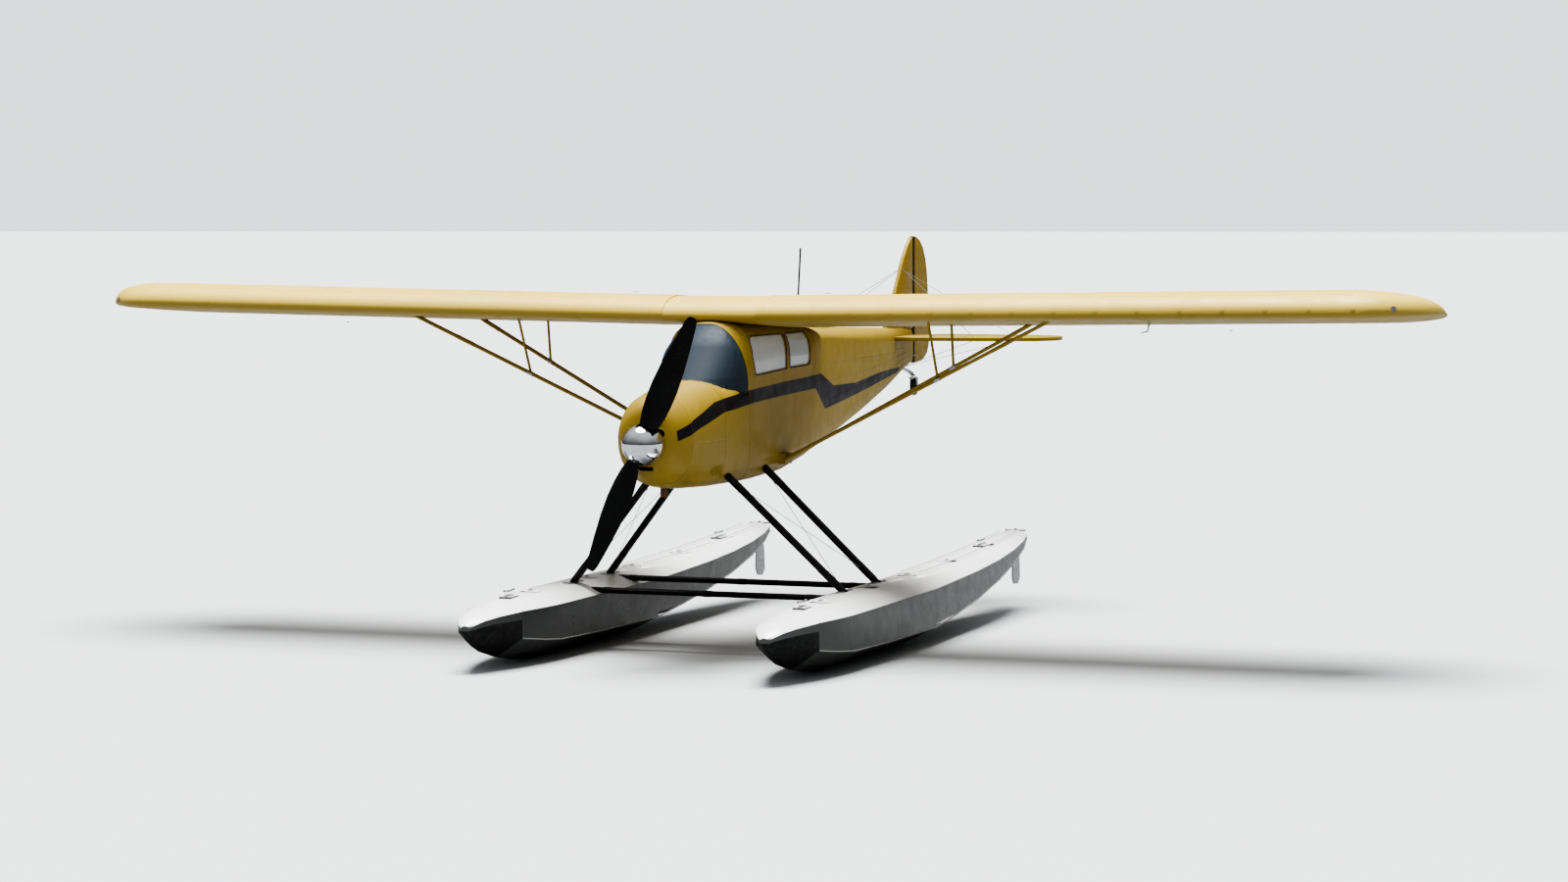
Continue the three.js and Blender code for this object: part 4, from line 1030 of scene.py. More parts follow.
class FLOATPLANE_OT_strut_fittings(PieceOperator, bpy.types.Operator):
    """Cuffs, clamps and bolts of the lift struts and the floats' struts"""

    bl_idname = "floatplane.strut_fittings"
    bl_label = "Fit the struts"

    def build(self):
        for side, sign in SIDES.items():
            for strut in LIFT_STRUTS:
                self.cuffs(f"{strut}_{side}", sign)
            self.float_gear(side, sign)
        self.spreader_cuffs()

    def cuffs(self, node, sign):
        bands = [band(node, "X", sign * x, width, 0.0016) for x, width in CUFFS]
        tapes(f"{node}_cuffs", "airframe", "strut", bands)
        clamp = band(node, "X", sign * JURY_OUT, 0.045, 0.0024)
        tapes(f"{node}_clamp", "airframe", "steel", [clamp])
        skin = surface_of(node)
        places = []
        inner, outer = CUFFS[0][0], CUFFS[1][0]
        for x in (inner - 0.03, inner + 0.03, outer - 0.04, outer + 0.04, JURY_OUT - 0.012):
            for below in (-1, 1):
                places += self.pierced(skin, node, sign * x, below)
        copies(bolt(0.0045), places, f"{node}_bolts", "airframe", "steel", "steel")

    def pierced(self, skin, node, x, below):
        """A bolt's place on the upper or lower face of a strut, at the middle of its chord."""
        corners = [v.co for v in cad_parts[node].data.vertices]
        low = min(corners, key=lambda p: abs(p.x))
        high = max(corners, key=lambda p: abs(p.x))
        ends = [self.section_middle(corners, end) for end in (low, high)]
        share = (x - ends[0].x) / (ends[1].x - ends[0].x)
        middle = ends[0].lerp(ends[1], share)
        place, normal, _, _ = skin.ray_cast(middle + Vector((0, 0, below)), Vector((0, 0, -below)))
        return [(place, normal)] if place else []

    def section_middle(self, corners, end):
        ring = [p for p in corners if abs(p.x - end.x) < 0.05]
        return sum(ring, Vector()) / len(ring)

    def float_gear(self, side, sign):
        ends = {}
        for place in ("front", "rear"):
            node = f"float_strut_{place}_{side}"
            low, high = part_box(node)
            cuffs = ((low.z + 0.10, 0.12), (high.z - 0.10, 0.10))
            bands = [band(node, "Z", height, width, 0.002) for height, width in cuffs]
            tapes(f"{node}_cuffs", "airframe", "black", bands)
            corners = [v.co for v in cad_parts[node].data.vertices]
            foot = [p for p in corners if p.z < low.z + 0.045]
            head = [p for p in corners if p.z > high.z - 0.045]
            ends[place] = [sum(group, Vector()) / len(group) for group in (foot, head)]
            self.foot_plate(node, ends[place][0], side)
        inward = Vector((-sign * 0.03, 0, 0.05))
        outward = Vector((sign * 0.012, 0, -0.03))
        cross = [
            (ends["front"][0] + inward, ends["rear"][1] + outward),
            (ends["rear"][0] + inward, ends["front"][1] + outward),
        ]
        wires(f"float_side_wires_{side}", "airframe", cross)

    def foot_plate(self, node, foot, side):
        deck = surface_of(f"float_{side}")
        bases, bolts = [], []
        for along in (-0.085, 0.085):
            place, normal = seen_from(deck, (foot.x, foot.y + along, OVER_DECK), (0, 0, -1))
            bases.append(block((0.085, 0.060, 0.010), place + normal * 0.004, 0.003, normal))
            for across in (-0.026, 0.026):
                spot, out = seen_from(deck, (foot.x + across, foot.y + along, OVER_DECK), (0, 0, -1))
                bolts.append((spot + out * 0.009, out))
        finish_piece(merge(bases), f"{node}_foot", "airframe", "steel")
        copies(bolt(0.006), bolts, f"{node}_foot_bolts", "airframe", "steel", "steel")

    def spreader_cuffs(self):
        for place in ("front", "rear"):
            node = f"spreader_{place}"
            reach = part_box(node)[1].x
            bands = [band(node, "X", sign * (reach - 0.13), 0.05, 0.002) for sign in SIDES.values()]
            bands.append(band(node, "X", 0, 0.06, 0.002))
            tapes(f"{node}_cuffs", "airframe", "black", bands)


# Float edges: station, half width, height of the deck's edge, height of the chine
FLOAT_OUT = 1.147
FLOAT_EDGES = [
    (-1.83, 0.034, 0.335, 0.304), (-1.80, 0.062, 0.350, 0.300), (-1.72, 0.105, 0.376, 0.284),
    (-1.59, 0.152, 0.394, 0.258), (-1.33, 0.222, 0.410, 0.214), (-1.05, 0.272, 0.414, 0.180),
    (-0.80, 0.296, 0.416, 0.158), (0.0, 0.305, 0.424, 0.142), (1.05, 0.298, 0.430, 0.138),
    (1.60, 0.280, 0.447, 0.184), (2.20, 0.266, 0.468, 0.250), (2.80, 0.246, 0.500, 0.340),
    (3.30, 0.216, 0.539, 0.428), (3.70, 0.172, 0.579, 0.512), (3.96, 0.118, 0.610, 0.575),
]
BEHIND_BUMPER = 4
# Stations of the bulkheads, hatches and pump plugs, and each cleat's station and deck height
BULKHEADS = (-0.95, -0.45, 0.15, 0.45, 0.98, 1.45, 1.95, 2.45, 2.95, 3.40)
HATCHES = (-0.70, 0.33, 1.22, 2.20, 3.18)
PLUGS = (-0.95, -0.3, 0.55, 1.45, 1.95, 2.9)
CLEATS = {"bow": (-1.08, 0.494), "stern": (3.08, 0.592)}


class FLOATPLANE_OT_float_fittings(PieceOperator, bpy.types.Operator):
    """Mouldings, rivets, hatches, pump plugs, cleats and cables of the floats"""

    bl_idname = "floatplane.float_fittings"
    bl_label = "Fit the floats"

    def build(self):
        for side, sign in SIDES.items():
            skin = surface_of(f"float_{side}")
            middle = sign * FLOAT_OUT
            self.mouldings(side, middle)
            self.rivets(side, middle, skin)
            self.hatches(side, middle, skin)
            self.cleats(side, middle)
            self.bumper_bolts(side, middle)
            self.rudder_parts(side, middle, skin)

    def mouldings(self, side, middle):
        for name, column, radius in (("deck_edge", 2, 0.005), ("chine", 3, 0.006)):
            lines = []
            for out in (-1, 1):
                rows = FLOAT_EDGES[BEHIND_BUMPER:]
                points = [at(middle + out * row[1] * 0.995, row[0], row[column]) for row in rows]
                lines.append(drawn(points, radius, False, 1))
            finish_piece(merge(lines), f"{name}_{side}", "airframe", "float")

    def rivets(self, side, middle, skin):
        places = []
        for station in BULKHEADS:
            half, edge, chine = between(FLOAT_EDGES, station)
            for out in (-1, 1):
                for height in steps(chine + 0.025, edge - 0.025, 7):
                    places.append(seen_from(skin, at(middle + out * half, station, height), (-out, 0, 0)))
            for share in steps(-0.85, 0.85, 13):
                if abs(share) > 0.2:
                    places.append(seen_from(skin, at(middle + share * half, station, OVER_DECK), (0, 0, -1)))
        for out in (-1, 1):
            for station in steps(-1.20, 3.80, 84):
                half, edge, _ = between(FLOAT_EDGES, station)
                places.append(seen_from(skin, at(middle + out * half, station, edge - 0.022), (-out, 0, 0)))
        copies(rivet(), places, f"float_rivets_{side}", "airframe", "white", "float")

    def hatches(self, side, middle, skin):
        rim = turned([(0.092, -0.012), (0.092, 0.004), (0.084, 0.007), (0.080, 0.004)], sides=32)
        lid = turned([(0.078, 0), (0.078, 0.007), (0.070, 0.010), (0.030, 0.010), (0.028, 0.006)], sides=32)
        cover = merge([rim, lid])
        places = [seen_from(skin, at(middle, station, OVER_DECK), (0, 0, -1)) for station in HATCHES]
        copies(cover, places, f"deck_hatches_{side}", "airframe", "white", "float")
        latch = merge([
            block((0.052, 0.012, 0.006), (0, 0, 0.011), 0.002),
            turned([(0.009, 0.006), (0.009, 0.016), (0.006, 0.018)]),
        ])
        copies(latch, places, f"hatch_latches_{side}", "airframe", "steel", "steel")
        plug = turned([(0.014, 0), (0.014, 0.004), (0.010, 0.010), (0.004, 0.014)], sides=14)
        spots = [seen_from(skin, at(middle + 0.09, station, OVER_DECK), (0, 0, -1)) for station in PLUGS]
        copies(plug, spots, f"pump_plugs_{side}", "airframe", "rubber", "rubber")

    def cleats(self, side, middle):
        for name, (station, top) in CLEATS.items():
            base = block((0.036, 0.100, 0.008), at(middle, station, top + 0.0042), 0.002)
            legs = [
                turned([(0.011, 0), (0.008, 0.010), (0.008, 0.026)], at(middle, station + s, top + 0.008))
                for s in (-0.024, 0.024)
            ]
            shape = [(-0.085, 0.042), (-0.055, 0.037), (0, 0.034), (0.055, 0.037), (0.085, 0.042)]
            bar = drawn([at(middle, station + s, top + h) for s, h in shape], 0.0085, False, 2)
            finish_piece(merge([base, *legs, bar]), f"cleat_{name}_{side}", "airframe", "steel")

    def bumper_bolts(self, side, middle):
        skin = surface_of(f"bow_bumper_{side}")
        places = []
        for out in (-1, 1):
            for station, height in ((-1.38, 0.31), (-1.38, 0.25), (-1.60, 0.31), (-1.60, 0.25)):
                half = between(FLOAT_EDGES, station)[0]
                places.append(seen_from(skin, at(middle + out * half, station, height), (-out, 0, 0)))
        copies(screw(0.008), places, f"bumper_screws_{side}", "airframe", "rubber", "steel")

    def rudder_parts(self, side, middle, skin):
        """Cables along the deck to the water rudder, over small pulleys, and rivets on its blade."""
        lines, posts = [], []
        for out in (-1, 1):
            points = []
            for station in (1.30, 2.00, 2.70, 3.30, 3.80):
                place, _ = seen_from(skin, at(middle + out * 0.075, station, 0.7), (0, 0, -1))
                points.append(place + Vector((0, 0, 0.020)))
                posts.append((place, Vector((0, 0, 1))))
            lines.append(drawn(points, 0.0022, False, 1))
        finish_piece(merge(lines), f"rudder_cables_{side}", "airframe", "steel")
        guide = merge([
            turned([(0.012, 0), (0.012, 0.003), (0.005, 0.006), (0.005, 0.014)], sides=12),
            turned([(0.010, 0.014), (0.006, 0.018), (0.006, 0.022), (0.010, 0.026)], sides=14),
        ])
        copies(guide, posts, f"cable_guides_{side}", "airframe", "steel", "steel")
        blade = surface_of(f"water_rudder_{side}")
        spots = []
        for out in (-1, 1):
            for station, height in ((4.00, 0.44), (4.06, 0.44), (4.00, 0.30), (4.06, 0.30), (4.03, 0.37)):
                spots.append(seen_from(blade, at(middle + out * 0.02, station, height), (-out, 0, 0)))
        copies(rivet(0.006), spots, f"water_rudder_rivets_{side}", f"water_rudder_{side}", "steel", "steel")


# Where the cowl, cabin and tail fittings are
HUB = (-1.295, 1.640)
BLADE_LEAN = 23.9
COWL_SPLIT = 1.640
COWL_MIDDLE = 1.66
COWL_JOINTS = {"bowl_strip": -1.002, "firewall_strip": -0.468}
# Distance out and height of an inlet's middle from the hub, and its radius
INLET_OUT, INLET_RISE, INLET_RADIUS = 0.112, 0.072, 0.043
POST_STATION = 0.785
REAR_CORNERS = [(1.245, 2.126), (1.278, 2.150), (1.282, 2.345), (1.258, 2.368)]
OPENINGS = {
    "front": [
        (0.108, 2.090), (0.050, 2.225), (0.050, 2.325), (0.072, 2.358), (0.110, 2.368), (0.745, 2.368),
        (0.745, 2.114),
    ],
    "rear": [(0.825, 2.368), (0.825, 2.118), *REAR_CORNERS],
    "starboard": [(0.620, 2.368), (0.620, 2.113), *REAR_CORNERS],
    "door": [
        (0.098, 2.080), (0.102, 2.250), (0.122, 2.295), (0.160, 2.318), (0.500, 2.318), (0.500, 2.080),
    ],
}


def grown(outline, by):
    """An outline moved outwards from its middle."""
    middle = [(min(column) + max(column)) / 2 for column in zip(*outline)]
    return [tuple(c + math.copysign(by, c - m) for c, m in zip(point, middle)) for point in outline]


def along_outline(outline, step=0.05):
    """Points along a closed outline, no further apart than a step."""
    points = []
    for (y0, z0), (y1, z1) in zip(outline, outline[1:] + outline[:1]):
        count = max(1, round(math.hypot(y1 - y0, z1 - z0) / step))
        points += [(y0 + (y1 - y0) * i / count, z0 + (z1 - z0) * i / count) for i in range(count)]
    return points


def on_side(skin, side, outline, by=0.0, step=0.05):
    """An outline laid on the left or right side of a skin."""
    sign = SIDES[side]
    rows = along_outline(grown(outline, by), step)
    return [seen_from(skin, at(sign * BESIDE_CABIN, y, z), (-sign, 0, 0)) for y, z in rows]


class FLOATPLANE_OT_cowl_fittings(PieceOperator, bpy.types.Operator):
    """Joint strips, fasteners, inlets, louvres, the spinner's screws and the exhaust's clamp"""

    bl_idname = "floatplane.cowl_fittings"
    bl_label = "Fit the cowling"

    def build(self):
        skin = surface_of("cowl_upper", "cowl_lower", "nose_bowl")
        self.strips()
        self.fasteners(skin)
        self.inlets(surface_of("nose_bowl"))
        self.louvres(surface_of("cowl_lower"))
        self.spinner()
        self.exhaust()

    def strips(self):
        for name, station in COWL_JOINTS.items():
            place = LEADING_EDGE + station
            halves = ("cowl_upper", "cowl_lower")
            bands = [band(node, "Y", place, 0.030, 0.0012, self.outside) for node in halves]
            tapes(name, "airframe", "cowl", bands)

    def outside(self, centre, normal):
        return normal.x * centre.x + normal.z * (centre.z - COWL_MIDDLE) > 0

    def fasteners(self, skin):
        places = []
        for sign in SIDES.values():
            for station in steps(-0.96, -0.50, 8):
                for height in (COWL_SPLIT - 0.014, COWL_SPLIT + 0.014):
                    places.append(seen_from(skin, at(sign * BESIDE_COWL, station, height), (-sign, 0, 0)))
        for station in COWL_JOINTS.values():
            for angle in steps(8, 352, 26):
                turn = math.radians(angle)
                out = Vector((math.sin(turn), 0, -math.cos(turn)))
                middle = at(0, station, COWL_MIDDLE)
                places.append(seen_from(skin, middle + out * BESIDE_COWL, -out))
        copies(screw(0.0065), places, "cowl_fasteners", "airframe", "steel", "steel")
        hinge = []
        for sign in SIDES.values():
            rows = [at(sign * BESIDE_COWL, station, COWL_SPLIT) for station in steps(-1.0, -0.46, 12)]
            points = [seen_from(skin, row, (-sign, 0, 0))[0] for row in rows]
            hinge.append(drawn([p - Vector((sign * 0.002, 0, 0)) for p in points], 0.004, False, 1))
        finish_piece(merge(hinge), "cowl_hinge_strips", "airframe", "cowl")

    def inlets(self, bowl):
        rims = []
        middle_height = HUB[1] + INLET_RISE
        for x in (-INLET_OUT, INLET_OUT):
            ring = []
            for angle in steps(0, 345, 24):
                turn = math.radians(angle)
                out, up = INLET_RADIUS * math.cos(turn), INLET_RADIUS * math.sin(turn)
                spot = at(x + out, HUB[0] + 0.1, middle_height + up)
                ring.append(seen_from(bowl, spot, (0, 1, 0))[0])
            rims.append(drawn(ring, 0.0045, True, 2))
        finish_piece(merge(rims), "inlet_rims", "airframe", "cowl")
        fins = []
        for x in (-INLET_OUT, INLET_OUT):
            for height in steps(-0.045, 0.045, 10):
                fins.append(Matrix.Translation(at(x, -1.045, middle_height + height)))
        plate = block((0.120, 0.060, 0.0022), bevel=0.0006)
        finish_piece(repeat(plate, fins), "cooling_fins", "airframe", "panel")
        slats = [Matrix.Translation(at(x, -1.140, 1.461)) for x in steps(-0.048, 0.048, 9)]
        slat = block((0.0025, 0.030, 0.029), bevel=0.0006)
        finish_piece(repeat(slat, slats), "chin_inlet_slats", "airframe", "panel")

    def louvres(self, skin):
        """Pressed slots low on both sides, open towards the rear."""
        deselect()
        bpy.ops.mesh.primitive_uv_sphere_add(segments=12, ring_count=8, radius=1)
        scoop = bpy.context.object
        scoop.scale = (0.008, 0.055, 0.011)
        settle(scoop)
        with editing(scoop):
            below = {"plane_co": (0, 0, -0.002), "plane_no": (0, 0, -1)}
            bpy.ops.mesh.bisect(**below, clear_outer=True, use_fill=True)
        places = []
        for sign in SIDES.values():
            for station in steps(-0.66, -0.53, 6):
                places.append(seen_from(skin, at(sign * BESIDE_COWL, station, 1.43), (-sign, 0, 0)))
        turned_up = []
        for place, normal in places:
            frame_of = Matrix((Vector((0, 1, 0)), Vector((0, 0, 1)), normal)).transposed()
            turned_up.append(Matrix.Translation(place) @ frame_of.to_4x4())
        finish_piece(repeat(scoop, turned_up), "cowl_louvres", "airframe", "cowl")

    def spinner(self):
        skin = surface_of("spinner")
        middle = at(0, HUB[0] + 0.045, HUB[1])
        places = []
        for angle in steps(15, 345, 12):
            turn = math.radians(angle + BLADE_LEAN)
            out = Vector((math.cos(turn), 0, math.sin(turn)))
            spot, normal, _, _ = skin.ray_cast(middle + out, -out)
            if spot and (spot - middle).length > 0.14:
                places.append((spot, normal))
        copies(screw(0.0055), places, "spinner_screws", "propeller", "steel", "steel")

    def exhaust(self):
        top = at(-0.095, -0.64, 1.285)
        clamp = turned([(0.031, 0), (0.031, 0.018), (0.029, 0.020)], top)
        ears = block((0.012, 0.030, 0.016), top + Vector((0.034, 0, 0.010)), 0.002)
        pin = drawn([top + Vector((0.034, -0.022, 0.010)), top + Vector((0.034, 0.022, 0.010))], 0.003)
        finish_piece(merge([clamp, ears, pin]), "exhaust_clamp", "airframe", "steel")


class FLOATPLANE_OT_window_trim(PieceOperator, bpy.types.Operator):
    """Gaskets, the post between the side windows, the windscreen's frame and the door's fittings"""

    bl_idname = "floatplane.window_trim"
    bl_label = "Trim the windows"

    def build(self):
        cabin = surface_of("fuselage_cabin")
        for name, side in (("front", "left"), ("rear", "left"), ("starboard", "right")):
            points = [p for p, _ in on_side(cabin, side, OPENINGS[name], 0.007, 0.04)]
            bead(f"gasket_{name}", "airframe", "rubber", points, 0.0042)
            places = on_side(cabin, side, OPENINGS[name], 0.020, 0.075)
            copies(screw(0.0045), places, f"window_screws_{name}", "airframe", "steel", "steel")
        door = surface_of("door_upper")
        points = [p for p, _ in on_side(door, "right", OPENINGS["door"], 0.006, 0.04)]
        bead("gasket_door", "door_upper", "rubber", points, 0.0040)
        self.post()
        self.screen_strips()
        self.door_fittings(cabin)

    def post(self):
        strip = band("fuselage_cabin", "Y", LEADING_EDGE + POST_STATION, 0.066, 0.0010, self.on_post)
        tapes("window_post", "airframe", "post", [strip])

    def on_post(self, centre, normal):
        return centre.x > 0.2 and normal.x > 0.3 and 2.10 < centre.z < 2.375

    def screen_strips(self):
        screen = surface_of("windscreen")
        self.screen_frame(screen, surface_of("fuselage_cabin"))
        foot = []
        for angle in steps(-84, 84, 33):
            turn = math.radians(angle)
            out = Vector((math.sin(turn) * 0.5, -math.cos(turn) * 0.55, 0))
            for height in steps(1.94, 2.12, 61):
                spot, _, _, _ = screen.ray_cast(at(0, 0.03, height) + out * 2, -out.normalized())
                if spot and (spot - at(0, 0.03, height)).dot(out) > 0.05:
                    foot.append(spot)
                    break
        for _ in range(3):
            foot = [foot[0], *((a + b * 2 + c) / 4 for a, b, c in zip(foot, foot[1:], foot[2:])), foot[-1]]
        bead("windscreen_foot", "airframe", "rubber", foot, 0.0065, closed=False)
        tubes = [drawn([at(0, -0.045, 2.42), at(x, -0.20, 2.075)], 0.009) for x in (-0.25, 0.25)]
        finish_piece(merge(tubes), "windscreen_tubes", "airframe", "post")

    def screen_frame(self, screen, cabin):
        """The painted frame that holds the windscreen's rear edge and laps on to the cabin."""
        rows = []
        for angle in steps(-92, 92, 75):
            turn = math.radians(angle)
            out = Vector((math.sin(turn), 0, math.cos(turn)))
            row = []
            for skin, station, lift in (
                (screen, -0.056, 0.0016), (screen, -0.036, 0.0022),
                (cabin, 0.020, 0.0022), (cabin, 0.034, 0.0016),
            ):
                middle = at(0, station, 1.99)
                place, normal, _, _ = skin.ray_cast(middle + out, -out)
                if place is None or (place - middle).dot(out) < 0.2:
                    break
                row.append(place + normal * lift)
            if len(row) == 4:
                rows.append(row)
        finish_piece(lofted(rows, 0.0018), "windscreen_frame", "airframe", "cowl", 60)

    def door_fittings(self, cabin):
        lower = surface_of("door_lower")
        place, normal = seen_from(lower, at(-BESIDE_CABIN, 0.47, 1.93), (1, 0, 0))
        plate = turned([(0.024, 0), (0.024, 0.003), (0.018, 0.005)], place, normal)
        hub = turned([(0.009, 0.004), (0.009, 0.022), (0.007, 0.025)], place, normal, 14)
        bend = place + normal * 0.026 + Vector((0, -0.05, 0))
        end = place + normal * 0.022 + Vector((0, -0.10, -0.004))
        lever = drawn([place + normal * 0.021, bend, end], 0.006)
        finish_piece(merge([plate, hub, lever]), "door_handle", "door_lower", "steel")
        rows = [at(-BESIDE_CABIN, station, z) for station in steps(0.085, 0.515, 12) for z in (1.522, 2.012)]
        spots = [seen_from(lower, row, (1, 0, 0)) for row in rows]
        copies(screw(0.004), spots, "door_lower_screws", "door_lower", "steel", "steel")
        upper = surface_of("door_upper")
        spots = [seen_from(upper, at(-BESIDE_CABIN, y, 2.046), (1, 0, 0)) for y in steps(0.085, 0.515, 12)]
        copies(screw(0.004), spots, "door_upper_screws", "door_upper", "steel", "steel")
        rail = [seen_from(cabin, at(-BESIDE_CABIN, y, 2.380), (1, 0, 0))[0] for y in steps(0.03, 0.57, 10)]
        bead("door_rail", "airframe", "steel", rail, 0.004, closed=False)


class FLOATPLANE_OT_cabin(PieceOperator, bpy.types.Operator):
    """Instruments, glare shield, pedals, throttle, floor and tubes inside the cabin"""

    bl_idname = "floatplane.cabin"
    bl_label = "Furnish the cabin"

    PANEL = -0.250
    # Distance out, height and radius of each dial
    DIALS = [
        *((x, 1.945, 0.041) for x in (-0.20, -0.10, 0.0, 0.10, 0.20)),
        *((x, 1.855, 0.030) for x in (-0.15, -0.075, 0.075, 0.15)),
    ]

    def build(self):
        self.instruments()
        self.shield()
        self.pedals()
        self.controls()
        self.floor()
        self.tubes()

    def instruments(self):
        bezels, faces, marks, needles = [], [], [], []
        for x, z, radius in self.DIALS:
            place = at(x, self.PANEL + 0.0004, z)
            ring = ((1, 0), (1, 0.006), (0.92, 0.009), (0.84, 0.007), (0.82, 0.003))
            bezels.append(turned([(radius * share, height) for share, height in ring], place, (0, 1, 0), 24))
            faces.append(turned([(radius * 0.80, 0.002), (radius * 0.80, 0.0036)], place, (0, 1, 0), 24))
            for i in range(12):
                turn = math.radians(i * 30)
                out = Vector((math.sin(turn), 0, math.cos(turn))) * radius * 0.66
                spot = place + out + Vector((0, 0.0040, 0))
                marks.append(Matrix.Translation(spot) @ Matrix.Rotation(turn, 4, "Y"))
            lean = math.radians(40 + 900 * x)
            tip = Vector((math.sin(lean), 0, math.cos(lean))) * radius * 0.6
            pivot = place + Vector((0, 0.0048, 0))
            needles.append(drawn([pivot - tip * 0.2, pivot + tip], 0.0008, False, 1))
        finish_piece(merge(bezels), "dial_bezels", "airframe", "rubber")
        finish_piece(merge(faces), "dial_faces", "airframe", "panel")
        mark = block((0.0016, 0.0006, 0.008), bevel=0.0002)
        finish_piece(repeat(mark, marks), "dial_marks", "airframe", "deck")
        finish_piece(merge(needles), "dial_needles", "airframe", "deck")
        shape = [(0.008, 0), (0.008, 0.006), (0.010, 0.008), (0.010, 0.016), (0.008, 0.018)]
        knob = turned(shape, sides=14)
        spots = [(at(x, self.PANEL + 0.0004, 1.795), Vector((0, 1, 0))) for x in steps(-0.24, 0.24, 9)]
        copies(knob, spots, "panel_knobs", "airframe", "panel", "rubber")

    def shield(self):
        body = surface_of("fuselage_cabin")
        points = []
        for x in steps(-0.27, 0.27, 19):
            spot, _ = seen_from(body, at(x, -0.110, 2.10), (0, 0, -1))
            points.append(spot + Vector((0, 0, 0.006)))
        bead("glare_shield_roll", "airframe", "rubber", points, 0.009, closed=False)

    def pedals(self):
        pieces = []
        for x in (-0.15, 0.15):
            foot = at(x, -0.16, 1.47)
            pieces.append(drawn([foot + Vector((-0.04, 0, 0.13)), foot + Vector((0.04, 0, 0.13))], 0.008))
            pieces.append(drawn([foot + Vector((-0.03, 0, 0)), foot + Vector((-0.03, 0, 0.13))], 0.006))
            pieces.append(drawn([foot + Vector((0.03, 0, 0)), foot + Vector((0.03, 0, 0.13))], 0.006))
            pieces.append(block((0.075, 0.006, 0.05), foot + Vector((0, 0.008, 0.13)), 0.002, (0, 0.2, 1)))
        finish_piece(merge(pieces), "rudder_pedals", "airframe", "grey")

    def controls(self):
        quadrant = block((0.012, 0.16, 0.06), at(0.300, 0.18, 1.93), 0.006)
        lever = drawn([at(0.290, 0.18, 1.95), at(0.288, 0.15, 2.02)], 0.004)
        round_end = [(0.004, 0), (0.011, 0.004), (0.013, 0.012), (0.009, 0.020), (0.003, 0.023)]
        ball = turned(round_end, at(0.288, 0.15, 2.016))
        finish_piece(merge([quadrant, lever, ball]), "throttle", "airframe", "rubber")
        rim = [(0.05, 0), (0.056, 0.004), (0.056, 0.010), (0.05, 0.014), (0.02, 0.012), (0.012, 0.02)]
        wheel = turned(rim, at(0.312, 0.52, 1.99), (-1, 0, 0), 30)
        finish_piece(wheel, "trim_wheel", "airframe", "grey")

    def floor(self):
        body = surface_of("fuselage_cabin")
        boards = []
        for x in (-0.18, 0, 0.18):
            for first, last in ((-0.20, 0.10), (0.36, 0.60), (0.78, 0.92)):
                middle = (first + last) / 2
                spot, _ = meets(body, at(x, middle, 1.55), (0, 0, -1))
                boards.append(block((0.165, last - first, 0.008), at(x, middle, spot.z + 0.006), 0.002))
        finish_piece(merge(boards), "floor_boards", "airframe", "grey")

    def tubes(self):
        """The welded frame that shows through the side windows."""
        lines = []
        for sign in SIDES.values():
            for (y0, z0), (y1, z1) in (
                ((0.80, 2.085), (1.28, 2.34)), ((0.80, 2.35), (0.80, 2.085)), ((0.64, 2.085), (1.30, 2.10)),
            ):
                lines.append(drawn([at(sign * 0.285, y0, z0), at(sign * 0.270, y1, z1)], 0.009))
        lines.append(drawn([at(-0.27, 0.80, 2.355), at(0.27, 0.80, 2.355)], 0.009))
        finish_piece(merge(lines), "cabin_tubes", "airframe", "post")


# Chairs: name, front of the seat, height of its board
CHAIRS = [("front", 0.270, 1.620), ("rear", 1.010, 1.650)]


